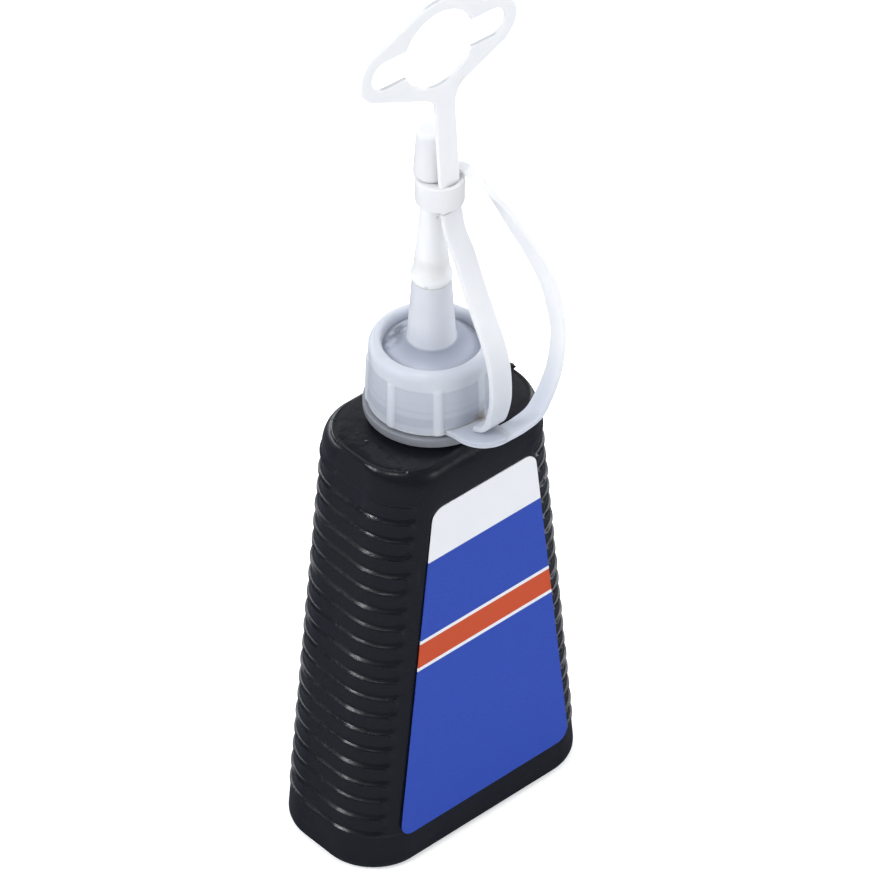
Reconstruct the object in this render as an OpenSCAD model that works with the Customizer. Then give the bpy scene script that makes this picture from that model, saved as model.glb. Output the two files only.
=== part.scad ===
// Squeeze bottle for powdered graphite, with a screwed-on nozzle, a tethered closure and a hang tab.
// Millimetres, +Z up. The origin is the middle of the base. The label faces -Y.

/* [Bottle] */
// Width of the bottle at its base, over the ribs
base_w = 65.5; // [58:0.5:72]
// Depth of the bottle at its base
base_d = 33; // [30:0.5:38]
// Width of the bottle where its shoulder starts
top_w = 44.7; // [42:0.1:50]
// Depth of the bottle where its shoulder starts
top_d = 31.2; // [29.6:0.1:33]
// Height at which the shoulder starts
wall_h = 93.2; // [90:0.1:110]
// Height of the shoulder's curve
shoulder_h = 6.6; // [5:0.1:9]
// Radius of the upright corners at the base
base_corner_r = 12.5; // [9:0.1:14]
// Radius of the upright corners at the shoulder
top_corner_r = 11.2; // [9:0.1:13]
// Rounding between the base and the walls
base_round = 2.4; // [1.5:0.1:4]
// Thickness of the bottle's wall
wall = 1; // [0.8:0.1:1.5]
// Height to which the powder fills the bottle
fill_h = 75; // [40:1:84]

/* [Grip grooves] */
// Number of grooves round each narrow end
groove_count = 19; // [10:1:19]
// Height from one groove to the next
groove_pitch = 4.39; // [3:0.01:4.39]
// Depth of a groove
groove_depth = 1; // [0.5:0.1:1.2]
// Height of the lowest groove's middle
first_groove_z = 11.8; // [8:0.1:12]
// How far a groove runs in from the bottle's end
groove_reach = 5; // [3:0.1:6]

/* [Neck] */
// Outer radius of the neck, under its thread
neck_r = 10.2; // [9.5:0.1:10.6]
// Thickness of the neck's wall
neck_wall = 1.6; // [1.2:0.1:2]
// Height of the neck above its seat
neck_h = 13.2; // [12:0.1:16]
// Radius of the raised seat round the neck
seat_r = 12.3; // [11.4:0.1:12.6]
// Height of the raised seat
seat_h = 1.2; // [0.8:0.1:1.6]
// Rise of the thread in one turn
thread_pitch = 3; // [2.6:0.1:3.2]
// Number of turns of thread
thread_turns = 2; // [1:0.25:2]
// Height of the thread's ridge
thread_depth = 0.95; // [0.7:0.05:1]

/* [Collar] */
// Outer radius of the collar
collar_r = 13.8; // [13:0.1:15]
// Thickness of the collar
collar_t = 2.05; // [1:0.05:2.5]

/* [Label] */
// Width of the label at its lower edge
label_base_w = 46.8; // [30:0.1:48]
// Width of the label at its upper edge
label_top_w = 27.3; // [16:0.1:29]
// Height of the label
label_h = 82.3; // [50:0.1:84]
// Height of the label's lower edge
label_z = 8.7; // [5:0.1:10]
// Thickness of the label
label_t = 0.2; // [0.1:0.05:0.3]
// Rounding of the label's corners
label_corner_r = 3; // [1:0.1:5]

/* [Nut] */
// Radius of the nut's skirt between its grip bars
nut_r = 12.95; // [12.6:0.05:14]
// Height of the nut
nut_h = 14.9; // [14.4:0.1:17]
// Radius of the nut's opening
opening_r = 9.87; // [8:0.1:10]
// Thickness of the nut's lip
lip_t = 2.1; // [1.6:0.1:2.6]
// Number of grip bars
bar_count = 8; // [6:1:12]
// Width of a grip bar
bar_w = 1.6; // [1:0.1:2.4]
// How far a grip bar stands out
bar_t = 0.55; // [0.3:0.05:1]
// Height of a grip bar
bar_h = 11.2; // [8:0.1:11.8]
// Turn of the first grip bar about the axis
bar_turn = 9; // [0:1:44]
// Radius of the lug's rounded corner
lug_r = 6.9; // [6:0.1:8]
// Place of the lug's corner to the side of the axis
lug_x = 1; // [0:0.1:2]
// Distance of the lug's corner from the grip bars
lug_gap = 0.7; // [0.4:0.1:2]

/* [Spout] */
// Radius of the tube where it leaves the spout's foot
tube_base_r = 4.9; // [4.4:0.1:5.4]
// Radius of the tube under the nozzle tip
tube_top_r = 3.95; // [3.8:0.05:4.2]
// Height of the tube's visible part
tube_h = 14.4; // [10:0.1:20]
// Height of the foot's cone above the flange
foot_h = 3; // [2.4:0.1:4]
// Thickness of the flange
flange_t = 1.65; // [1.2:0.05:2]
// Length of the plug in the neck
plug_h = 6; // [3:0.1:8]
// Wall of the plug and of the tube
spout_wall = 1.2; // [0.8:0.1:1.4]
// Length of the spigot inside the nozzle tip
spigot_h = 5.4; // [3:0.1:7]
// Radius of the spigot
spigot_r = 3.1; // [2.8:0.05:3.2]

/* [Nozzle tip] */
// Radius of the bead at the tip's mouth
bead_r = 4.22; // [4:0.02:4.6]
// Height of the bead
bead_h = 1.5; // [1:0.1:2.5]
// Radius just above the bead
cone_base_r = 3.8; // [3.75:0.05:4]
// Radius of the tip's end
tip_r = 1.72; // [1.5:0.02:2]
// Length of the tip
tip_h = 34.2; // [30:0.1:40]
// Radius of the outlet
outlet_r = 0.8; // [0.5:0.05:0.9]

/* [Closure] */
// Radius of the closure cap at its mouth
closure_r = 3.6; // [3.4:0.05:4]
// Radius of the closure cap under its dome
closure_top_r = 3; // [2.7:0.05:3.2]
// Height of the closure cap
closure_h = 11; // [9:0.1:13]
// Thickness of the closure cap's wall
closure_wall = 1.1; // [0.9:0.05:1.2]
// Direction in which the closure's tab points
tab_turn = -26; // [-30:1:0]
// Width of the closure's tab
tab_w = 2.4; // [2:0.1:3.4]
// Length of the tab past the closure's mouth
tab_l = 1; // [0.6:0.1:2]

/* [Hanger] */
// Length of the hanger's slot
slot_l = 33; // [26:0.1:36]
// Height of the hanger's slot
slot_h = 6.4; // [5:0.1:7]
// Radius of the round hole in the middle of the slot
hole_r = 8.6; // [7:0.1:9]
// Width of the rim outside the slot and the hole
rim_w = 2.7; // [2:0.1:4]
// Radius of the hanger's ends
end_r = 5.9; // [5:0.1:7]
// Thickness of the hanger
hanger_t = 1.1; // [0.8:0.05:1.4]
// Width of the stem
stem_w = 4.75; // [4:0.05:5.2]
// Height of the slot's middle above the closure's mouth
hanger_rise = 33.8; // [31:0.1:40]
// Place of the slot's middle to the side of the axis
hanger_x = -2.35; // [-4:0.05:0]
// Turn of the hanger about the axis
hanger_turn = -2.5; // [-4:0.1:1]
// Outer radius of the keeper ring
keeper_r = 4.9; // [4.8:0.1:5.4]
// Thickness of the keeper ring's wall
keeper_wall = 0.8; // [0.6:0.05:0.9]
// Height of the keeper ring
keeper_h = 5.7; // [4:0.1:7]
// Place of the keeper ring's middle beside and before the axis
keeper_place = [0.85, -1.45]; // [-3:0.05:3]

/* [Straps] */
// Thickness of both straps
strap_t = 1.25; // [1:0.05:1.4]
// Width of the strap that carries the hanger
hanger_strap_w = 5.2; // [4.4:0.1:5.6]
// Width of the strap that holds the closure
tether_w = 4.1; // [3.4:0.1:4.4]
// How far the hanger's strap bows out past the keeper ring
hanger_strap_bow = 15.6; // [13:0.1:18]
// How far the closure's strap swings out to the side
tether_side = 18; // [15:0.1:20]
// How far the closure's strap swings out to the front
tether_front = 19.4; // [18:0.1:21]

/* [Hidden] */
$fn = 64;

// Clearances and overruns
overrun = 1;
seat_gap = 0.3;
fit_gap = 0.05;
plug_gap = 0.08;
turn_gap = 0.2;
skin_gap = 0.03;

// Counts that set how finely curves are drawn
corner_steps = 8;
round_steps = 3;
turn_steps = 24;
route_steps = 4;
arc_steps = 10;

// Bottle
crease_z = wall_h + shoulder_h;
shoulder_arc = 70;
shoulder_in_x = 1.4;
shoulder_in_y = 2.7;
shoulder_in_r = 0.8;
plateau_rise = 0.5;
groove_fade = 1.6;
groove_shares = [0, 0.5, 1, 0.5];
seat_z = crease_z + plateau_rise + seat_h;
neck_top = seat_z + neck_h;
neck_mid_r = neck_r - neck_wall / 2;

// Thread
thread_foot = 1.7;
thread_crest = 0.7;
thread_root = 0.2;
thread_z = neck_top - thread_turns * thread_pitch - thread_pitch;
nut_bore_r = neck_r + thread_depth + seat_gap + fit_gap;

// Nut
nut_z = seat_z + collar_t + seat_gap + fit_gap;
nut_top = nut_z + nut_h;
nut_round = 2;
grip_r = nut_r + bar_t;
lug_y = grip_r + lug_gap;
lug_top = nut_z + strap_t;
lug_side = hanger_strap_w / 2 + fit_gap;
lug_seat_w = 2.7;

// Spout
flange_z = neck_top;
flange_top = flange_z + flange_t;
flange_r = nut_bore_r - seat_gap;
foot_r = opening_r - seat_gap;
foot_share = 0.5;
foot_ring_r = 7.6;
foot_z = flange_top + foot_h;
tube_top = foot_z + tube_h;
plug_r = neck_r - neck_wall - plug_gap;
lip_z = flange_top + turn_gap;

// Nozzle tip: shares of its length, and of its taper there
tip_z = tube_top + fit_gap;
tip_top = tip_z + tip_h;
cone_shares = [[0.05, 1], [0.1, 0.91], [0.25, 0.6], [0.4, 0.36], [0.52, 0.22], [0.75, 0.08], [1, 0]];
channel_share = 0.8;

// Closure
closure_z = tip_top - closure_h + closure_wall + closure_r / 2;
closure_top = closure_z + closure_h;
closure_dome = 1.4;
cavity_top = tip_top + seat_gap;
pin_r = outlet_r - fit_gap;
pin_h = 4;
tab_z = closure_z + strap_t / 2 + fit_gap;
tab_end = closure_r + tab_l;

// Hanger
hanger_z = closure_z + hanger_rise;
hub_r = hole_r + rim_w;
end_x = slot_l / 2 + rim_w - end_r + fit_gap;
end_turn = acos((hub_r - end_r) / end_x);
hanger_y = -(closure_r + seat_gap + hanger_t / 2);
keeper_z = closure_z - seat_gap - keeper_h;
stem_z = keeper_z - overrun;
stem_top = hanger_z - hub_r + overrun;
stem_foot_x = keeper_place[0] - hanger_x;
stem_top_x = 1.6;
flare_r = 3.6;

// Straps
strap_edge = 0.25;
hanger_strap_top = stem_z - fit_gap;
hanger_strap_rise = hanger_strap_top - lug_top;
hanger_strap_y = hanger_y - (keeper_place[0] - hanger_x) * tan(-hanger_turn);
// Each line: share of the bow, share of the rise
hanger_route_shares = [[0, 1], [0.03, 0.957], [0.1, 0.9], [0.265, 0.822], [0.475, 0.688], [0.675, 0.57],
                       [0.845, 0.472], [0.965, 0.36], [1, 0.21], [0.93, 0.096], [0.84, 0.043]];
tether_rise = tab_z - lug_top;
// Each line: share of the swing to the side, share to the front, share of the rise, turn of the width
tether_route_shares = [[0.279, 0.17, 1, -138], [0.284, 0.268, 0.999, -146], [0.35, 0.371, 0.965, -118],
                       [0.489, 0.486, 0.881, -95], [0.671, 0.582, 0.75, -82], [0.848, 0.674, 0.618, -77],
                       [0.972, 0.784, 0.481, -81], [1, 0.881, 0.338, -91], [0.967, 0.928, 0.258, -98],
                       [0.844, 0.974, 0.144, -100], [0.589, 1, 0.033, -92], [0.344, 0.995, 0.004, -90]];

function unit(v) = v / norm(v);
function mix(a, b, t) = a + (b - a) * t;
function clamp(t) = max(0, min(1, t));
function smooth(t) = clamp(t) * clamp(t) * (3 - 2 * clamp(t));
function arc(centre, r, from, to, steps) =
    [for (i = [0 : steps]) let (a = mix(from, to, i / steps)) [centre[0] + r * cos(a), centre[1] + r * sin(a)]];

// One ring of points round a rounded rectangle. Grooves cut only the narrow ends.
function ring(half_w, half_d, r, z, cut = 0) =
    [for (side = [0 : 3], i = [0 : corner_steps])
        let (a = 90 * side + 90 * i / corner_steps)
        let (from_end = r * (1 - abs(cos(a))))
        let (cut_here = cut * smooth((groove_reach - from_end) / groove_fade + 0.5))
        let (sx = (side == 0 || side == 3) ? 1 : -1, sy = side < 2 ? 1 : -1)
        [sx * (half_w - r) + (r - cut_here) * cos(a), sy * (half_d - r) + (r - cut_here) * sin(a), z]];

// A closed solid through rings of as many points each
module loft(rings) {
    n = len(rings[0]);
    last = len(rings) - 1;
    sides = [for (k = [0 : last - 1], i = [0 : n - 1])
        let (a = k * n + i, b = k * n + (i + 1) % n)
        each [[a, a + n, b], [b, a + n, b + n]]];
    polyhedron(points = [for (level = rings) each level],
               faces = concat(sides, [[for (i = [0 : n - 1]) i]],
                              [[for (i = [n - 1 : -1 : 0]) last * n + i]]));
}

// Half width, half depth and corner radius of the wall at a height
function wall_at(z) =
    let (t = z / wall_h)
    [mix(base_w, top_w, t) / 2, mix(base_d, top_d, t) / 2, mix(base_corner_r, top_corner_r, t)];

function wall_ring(z, in_x, in_y, cut = 0, lift = 0) =
    let (s = wall_at(z))
    ring(s[0] - in_x, s[1] - in_y, s[2] - in_y, z + lift, cut);

// The bottle's skin from its base to the crease of its shoulder
function base_rings(in_x, in_y, lift) =
    [for (i = [0 : round_steps])
        let (a = 90 * i / round_steps)
        let (z = base_round * (1 - cos(a)))
        wall_ring(z, in_x + base_round * (1 - sin(a)), in_y + base_round * (1 - sin(a)), 0, lift)];

function groove_rings() =
    [for (k = [0 : groove_count - 1], j = [0 : 3])
        wall_ring(first_groove_z + groove_pitch * (k + (j - 2) / 4), 0, 0, groove_depth * groove_shares[j])];

function shoulder_rings(in_x, in_y, lift) =
    [for (i = [0 : round_steps + 1])
        let (a = shoulder_arc * i / (round_steps + 1))
        let (t = (1 - cos(a)) / (1 - cos(shoulder_arc)))
        let (s = wall_at(wall_h))
        ring(s[0] - in_x - shoulder_in_x * t, s[1] - in_y - shoulder_in_y * t, s[2] - in_y - shoulder_in_r * t,
             wall_h + shoulder_h * sin(a) / sin(shoulder_arc) + lift)];

function reversed(list) = [for (i = [len(list) - 1 : -1 : 0]) list[i]];

// A thread's ridge: its foot lies in the wall, its crest stands in or out
function thread_rings(foot_r, crest_r, z) =
    [for (i = [0 : turn_steps * thread_turns])
        let (t = i / turn_steps)
        let (grow = smooth(t * 8) * smooth((thread_turns - t) * 8))
        let (tip = mix(foot_r, crest_r, 0.3 + 0.7 * grow))
        let (low = thread_foot / 2, high = mix(thread_crest / 4, thread_crest / 2, grow))
        [for (p = [[foot_r, low], [tip, high], [tip, -high], [foot_r, -low]])
            [p[0] * cos(360 * t), p[0] * sin(360 * t), z + thread_pitch * t + p[1]]]];

// A curve through every point of a list
function curve(p, steps) =
    concat([for (i = [0 : len(p) - 2], j = [0 : steps - 1])
        let (t = j / steps)
        let (a = i > 0 ? p[i - 1] : 2 * p[0] - p[1])
        let (d = i < len(p) - 2 ? p[i + 2] : 2 * p[i + 1] - p[i])
        (2 * p[i] + (p[i + 1] - a) * t + (2 * a - 5 * p[i] + 4 * p[i + 1] - d) * t * t
            + (3 * p[i] - a - 3 * p[i + 1] + d) * t * t * t) / 2], [p[len(p) - 1]]);

// One ring of a strap: a flat section with broken edges, square to the direction of the route
function strap_ring(at, along, turn, w) =
    let (raw = [cos(turn), sin(turn), 0])
    let (side = unit(raw - (raw * along) * along))
    let (up = cross(along, side))
    [for (p = [[w / 2, strap_t / 2 - strap_edge], [w / 2 - strap_edge, strap_t / 2],
               [strap_edge - w / 2, strap_t / 2], [-w / 2, strap_t / 2 - strap_edge],
               [-w / 2, strap_edge - strap_t / 2], [strap_edge - w / 2, -strap_t / 2],
               [w / 2 - strap_edge, -strap_t / 2], [w / 2, strap_edge - strap_t / 2]])
        at + side * p[0] + up * p[1]];

function place(p) = [p[0], p[1], p[2]];

module strap(route, first_along, last_along) {
    points = curve(route, route_steps);
    last = len(points) - 1;
    loft([for (i = [0 : last])
        let (along = i == 0 ? first_along : i == last ? last_along
                   : unit(place(points[i + 1]) - place(points[i - 1])))
        strap_ring(place(points[i]), along, points[i][3], points[i][4])]);
}

module tube(r, inner_r, z, h) {
    translate([0, 0, z])
        difference() {
            cylinder(r = r, h = h);
            translate([0, 0, -overrun]) cylinder(r = inner_r, h = h + 2 * overrun);
        }
}

module bottle() {
    in_x = wall + groove_depth;
    plateau_z = crease_z + plateau_rise;
    color([0.09, 0.1, 0.115])
        union() {
            loft(concat(
                base_rings(0, 0, 0),
                groove_rings(),
                shoulder_rings(0, 0, 0),
                [ring(seat_r - wall, seat_r - wall, seat_r - wall - fit_gap, plateau_z),
                 ring(neck_mid_r, neck_mid_r, neck_mid_r - fit_gap, plateau_z),
                 ring(neck_mid_r, neck_mid_r, neck_mid_r - fit_gap, plateau_z - wall)],
                reversed(shoulder_rings(in_x, wall, -wall)),
                reversed(base_rings(in_x, wall, wall))));
            tube(neck_r, neck_r - neck_wall, plateau_z - wall, neck_top - plateau_z + wall);
            tube(seat_r, neck_mid_r, plateau_z - wall, seat_h + wall);
            loft(thread_rings(neck_r - thread_root, neck_r + thread_depth, thread_z));
        }
}

module graphite_powder() {
    in_x = wall + groove_depth + seat_gap;
    in_y = wall + seat_gap;
    color([0.2, 0.2, 0.21])
        loft(concat(base_rings(in_x, in_y, in_y), [wall_ring(fill_h, in_x, in_y)]));
}

module front_label() {
    lean = atan((base_d - top_d) / 2 / wall_h);
    slope = atan((label_base_w - label_top_w) / 2 / label_h);
    r = label_corner_r;
    low_x = label_base_w / 2 - r * tan((90 + slope) / 2);
    high_x = label_top_w / 2 - r * tan((90 - slope) / 2);
    outline = concat(arc([low_x, r], r, -90, slope, arc_steps),
                     arc([high_x, label_h - r], r, slope, 90, arc_steps),
                     arc([-high_x, label_h - r], r, 90, 180 - slope, arc_steps),
                     arc([-low_x, r], r, 180 - slope, 270, arc_steps));
    color([0.2, 0.33, 0.72])
        translate([0, -base_d / 2, 0])
            rotate([90 - lean, 0, 0])
                translate([0, label_z, skin_gap]) linear_extrude(label_t) polygon(outline);
}

module neck_collar() {
    color([0.62, 0.65, 0.68])
        translate([0, 0, seat_z])
            rotate_extrude()
                polygon([[neck_r + thread_depth + seat_gap, 0], [collar_r - strap_edge, 0], [collar_r, strap_edge],
                         [collar_r, collar_t - strap_edge], [collar_r - strap_edge, collar_t],
                         [neck_r + thread_depth + seat_gap, collar_t]]);
}

module spout_insert() {
    bore_r = tube_base_r - spout_wall;
    color([0.88, 0.9, 0.94])
        rotate_extrude()
            polygon([[plug_r - spout_wall, flange_z - plug_h], [plug_r, flange_z - plug_h + spout_wall],
                     [plug_r, flange_z], [flange_r, flange_z], [flange_r, flange_top], [foot_r, flange_top],
                     [foot_ring_r, mix(flange_top, foot_z, foot_share)], [tube_base_r, foot_z],
                     [tube_top_r, tube_top], [spigot_r, tube_top], [spigot_r, tube_top + spigot_h],
                     [spigot_r - spout_wall / 2, tube_top + spigot_h], [spigot_r - spout_wall / 2, tube_top],
                     [bore_r, foot_z - spout_wall],
                     [plug_r - spout_wall, mix(flange_top, foot_z, foot_share) - 2 * spout_wall]]);
}

function cone_r(t) = mix(tip_r, cone_base_r, lookup(t, cone_shares));

module nozzle_tip() {
    socket_r = spigot_r + fit_gap;
    socket_top = tip_z + spigot_h + seat_gap;
    channel_z = mix(tip_z, tip_top, channel_share);
    bead = [[socket_r, tip_z], [bead_r - strap_edge, tip_z], [bead_r, tip_z + strap_edge],
            [bead_r, tip_z + bead_h - strap_edge]];
    cone = [for (s = cone_shares) [cone_r(s[0]), mix(tip_z, tip_top, s[0])]];
    color([0.9, 0.92, 0.96])
        rotate_extrude()
            polygon(concat(bead, cone, [[outlet_r, tip_top], [outlet_r, channel_z],
                                        [spigot_r - spout_wall, socket_top], [socket_r, socket_top]]));
}

module lug() {
    corner = [lug_x, -lug_y];
    translate([0, 0, nut_z + skin_gap])
        linear_extrude(strap_t)
            difference() {
                union() {
                    intersection() {
                        translate(corner) circle(r = lug_r);
                        translate([lug_x - lug_r, -lug_y - lug_r]) square([lug_r, lug_r]);
                    }
                    translate([lug_x - lug_r, -lug_y]) square([lug_r, lug_y - grip_r * cos(30)]);
                    translate([lug_x, -lug_y - lug_seat_w]) square([lug_side - lug_x, lug_seat_w + lug_y - nut_r]);
                }
                circle(r = mix(nut_bore_r, nut_r, 0.5));
            }
}

module union_nut() {
    color([0.84, 0.87, 0.92])
        union() {
            rotate_extrude()
                polygon(concat([[nut_bore_r, nut_z], [nut_r, nut_z]],
                               arc([nut_r - nut_round - bar_t / 2, nut_top - nut_round], nut_round, 0, 90, arc_steps),
                               [[opening_r + strap_edge, nut_top], [opening_r, nut_top - strap_edge],
                                [opening_r, lip_z], [nut_bore_r, lip_z]]));
            for (i = [0 : bar_count - 1])
                rotate([0, 0, bar_turn + i * 360 / bar_count])
                    translate([mix(nut_bore_r, nut_r, 0.5), -bar_w / 2, nut_z + strap_edge])
                        cube([grip_r - mix(nut_bore_r, nut_r, 0.5), bar_w, bar_h - strap_edge]);
            lug();
            loft([for (level = thread_rings(nut_bore_r + thread_root, nut_bore_r - thread_depth,
                                            thread_z + thread_pitch / 2)) reversed(level)]);
        }
}

module closure_cap() {
    inner_r = closure_r - closure_wall;
    inner_top_r = closure_top_r - closure_wall;
    dome = arc([closure_top_r - closure_dome, closure_top - closure_dome], closure_dome, 0, 90, arc_steps);
    color([0.91, 0.93, 0.97]) {
        rotate_extrude()
            polygon(concat([[inner_r, closure_z], [closure_r, closure_z]], dome,
                           [[0, closure_top], [0, cavity_top - pin_h], [pin_r, cavity_top - pin_h],
                            [pin_r, cavity_top], [inner_top_r, cavity_top]]));
        rotate([0, 0, tab_turn])
            translate([mix(inner_r, closure_r, 0.5), -tab_w / 2, tab_z - strap_t / 2])
                cube([tab_end - mix(inner_r, closure_r, 0.5), tab_w, strap_t]);
    }
}

// The hanger's flat shapes, about the middle of its slot
module stem_outline() {
    left = [for (p = arc([-flare_r, 0], flare_r, 0, 80, arc_steps)) [p[0], p[1]]];
    foot_z = stem_z - hanger_z;
    top_z = stem_top - hanger_z;
    neck_z = top_z - flare_r - overrun;
    polygon(concat([[stem_foot_x + stem_w / 2, foot_z]],
                   [for (p = left) [stem_top_x + stem_w / 2 - p[0], neck_z + p[1]]],
                   [[0, top_z + rim_w]],
                   reversed([for (p = left) [stem_top_x - stem_w / 2 + p[0], neck_z + p[1]]]),
                   [[stem_foot_x - stem_w / 2, foot_z]]));
}

module tab_outline() {
    polygon(concat(arc([end_x, 0], end_r, -end_turn, end_turn, arc_steps),
                   arc([0, 0], hub_r, end_turn, 180 - end_turn, arc_steps),
                   arc([-end_x, 0], end_r, 180 - end_turn, 180 + end_turn, arc_steps),
                   arc([0, 0], hub_r, 180 + end_turn, 360 - end_turn, arc_steps)));
}

module in_hanger_plane() {
    translate([hanger_x, hanger_y, hanger_z])
        rotate([0, 0, hanger_turn])
            rotate([90, 0, 0])
                translate([0, 0, -hanger_t / 2]) linear_extrude(hanger_t) children();
}

module hanger() {
    color([0.9, 0.92, 0.96])
        in_hanger_plane()
            difference() {
                union() {
                    tab_outline();
                    stem_outline();
                }
                circle(r = hole_r);
                square([slot_l - slot_h, slot_h], center = true);
                for (side = [-1, 1])
                    translate([side * (slot_l - slot_h) / 2, 0]) circle(r = slot_h / 2);
            }
}

module keeper_ring() {
    color([0.89, 0.91, 0.95])
        difference() {
            translate([keeper_place[0], keeper_place[1], 0])
                tube(keeper_r, keeper_r - keeper_wall, keeper_z, keeper_h);
            in_hanger_plane() stem_outline();
        }
}

module hanger_strap() {
    x = keeper_place[0];
    w = hanger_strap_w;
    top = [x, hanger_strap_y, hanger_strap_top, 0, w];
    low = [0, -lug_y - fit_gap, lug_top + strap_t / 2 + skin_gap, 0, w];
    middle = [for (s = hanger_route_shares)
        [x * s[1] * s[1], hanger_strap_y - hanger_strap_bow * s[0], lug_top + hanger_strap_rise * s[1], 0, w]];
    color([0.88, 0.91, 0.96])
        strap(concat([top], [for (i = [1 : len(middle) - 1]) middle[i]], [low]), [0, 0, -1], [0, 1, 0]);
}

module tether_strap() {
    low_z = nut_z + strap_t / 2;
    first = [cos(tab_turn), sin(tab_turn), 0];
    start = (tab_end + plug_gap) * first;
    low = [lug_x + fit_gap, -lug_y - lug_r + tether_w / 2, low_z, -90, tether_w];
    middle = [for (i = [0 : len(tether_route_shares) - 1])
        let (s = tether_route_shares[i])
        let (w = i < 2 ? tab_w : i == 2 ? mix(tab_w, tether_w, 0.5) : tether_w)
        [tether_side * s[0], -tether_front * s[1], mix(low_z, tab_z, s[2]), s[3], w]];
    color([0.9, 0.93, 0.97])
        strap(concat([[start[0], start[1], tab_z, tab_turn - 90, tab_w]], middle, [low]), first, [-1, 0, 0]);
}

bottle();
graphite_powder();
front_label();
neck_collar();
spout_insert();
nozzle_tip();
union_nut();
closure_cap();
hanger();
keeper_ring();
hanger_strap();
tether_strap();
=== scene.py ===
"""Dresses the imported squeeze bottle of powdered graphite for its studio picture.

Lengths are in millimetres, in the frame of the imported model: +Z up, the label
towards -Y, the origin in the middle of the base. Only the studio's are in metres.
"""
import logging
import math
from dataclasses import dataclass
from enum import Enum
from typing import Callable, Sequence

import bpy
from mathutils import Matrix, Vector


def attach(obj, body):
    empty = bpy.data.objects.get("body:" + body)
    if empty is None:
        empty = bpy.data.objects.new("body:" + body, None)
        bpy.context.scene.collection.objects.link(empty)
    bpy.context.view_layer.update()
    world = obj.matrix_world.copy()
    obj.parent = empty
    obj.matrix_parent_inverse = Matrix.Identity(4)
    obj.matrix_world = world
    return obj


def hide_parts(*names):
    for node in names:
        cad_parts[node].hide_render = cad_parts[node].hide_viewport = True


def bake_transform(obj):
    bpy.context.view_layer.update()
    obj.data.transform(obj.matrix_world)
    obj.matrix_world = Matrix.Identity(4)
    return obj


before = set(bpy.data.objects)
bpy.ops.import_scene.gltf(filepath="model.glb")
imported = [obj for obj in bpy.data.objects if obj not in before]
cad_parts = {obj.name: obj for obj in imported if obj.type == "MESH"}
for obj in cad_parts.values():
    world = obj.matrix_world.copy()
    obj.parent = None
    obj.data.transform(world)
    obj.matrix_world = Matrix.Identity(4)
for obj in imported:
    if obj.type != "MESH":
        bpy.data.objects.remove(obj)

LOG = logging.getLogger("squeeze_bottle")
MM = 0.001
Point = tuple[float, float, float]
Flat = tuple[float, float]
Triple = tuple[float, float, float]
Colour = tuple[float, float, float, float]
Span = tuple[float, float, float, float]
Ring = tuple[float, float, float, float, float]
Piece = bpy.types.Object
Socket = bpy.types.NodeSocket


class Body(Enum):
    """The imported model's moving bodies."""

    BOTTLE = "bottle"
    SPOUT = "spout"
    NUT = "nut"
    CLOSURE = "closure"


def mix(a: float, b: float, t: float) -> float:
    """Goes from a to b as t goes from 0 to 1."""
    return a + (b - a) * t


def ease(t: float) -> float:
    """Eases from 0 to 1, level at both ends."""
    t = min(1.0, max(0.0, t))
    return t * t * (3 - 2 * t)


def metres(point: Point) -> Point:
    """Turns millimetres into metres."""
    x, y, z = point
    return (x * MM, y * MM, z * MM)


def around(radius: float, degrees: float) -> Flat:
    """Gives the point at a radius and an angle round the axis."""
    a = math.radians(degrees)
    return (radius * math.cos(a), radius * math.sin(a))


def arc(x: float, y: float, radius: float, start: float, end: float, steps: int = 8) -> list[Flat]:
    """Gives points on an arc.

    Args:
        x: Centre, across.
        y: Centre, up.
        radius: Radius of the arc.
        start: First angle in degrees.
        end: Last angle in degrees.
        steps: Number of steps between the ends.

    Returns:
        The points, first angle first.
    """
    spokes = [around(radius, mix(start, end, i / steps)) for i in range(steps + 1)]
    return [(x + across, y + up) for across, up in spokes]


def quarter_turn(column: int, steps: int) -> tuple[int, float]:
    """Gives the corner of a rounded oblong that a column is on, and its angle in radians."""
    side, i = divmod(column, steps + 1)
    return side, math.radians(90 * side + 90 * i / steps)


def oblong(side: int, angle: float, half_w: float, half_d: float, radius: float, cut: float = 0.0) -> Flat:
    """Gives a point on the outline of a rounded oblong.

    Args:
        side: The corner, from 0 to 3, anticlockwise from the right back one.
        angle: Angle of the point in radians.
        half_w: Half the width.
        half_d: Half the depth.
        radius: Radius of the corner.
        cut: How far the point is sunk.

    Returns:
        The point.
    """
    sx, sy = (1 if side in (0, 3) else -1), (1 if side < 2 else -1)
    return (sx * (half_w - radius) + (radius - cut) * math.cos(angle),
            sy * (half_d - radius) + (radius - cut) * math.sin(angle))


def smooth_curve(points: Sequence[Sequence[float]], steps: int) -> list[list[float]]:
    """Draws a smooth curve through every point.

    Args:
        points: Points of any number of values each.
        steps: Steps between two points.

    Returns:
        The points of the curve.
    """
    out: list[list[float]] = []
    last = len(points) - 1
    for i in range(last):
        p, q = points[i], points[i + 1]
        a = points[i - 1] if i else [2 * m - n for m, n in zip(p, q)]
        d = points[i + 2] if i < last - 1 else [2 * n - m for m, n in zip(p, q)]
        for j in range(steps):
            t = j / steps
            out.append([(2 * m + (n - k) * t + (2 * k - 5 * m + 4 * n - o) * t * t
                         + (3 * m - k - 3 * n + o) * t ** 3) / 2 for k, m, n, o in zip(a, p, q, d)])
    out.append(list(points[last]))
    return out


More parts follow.
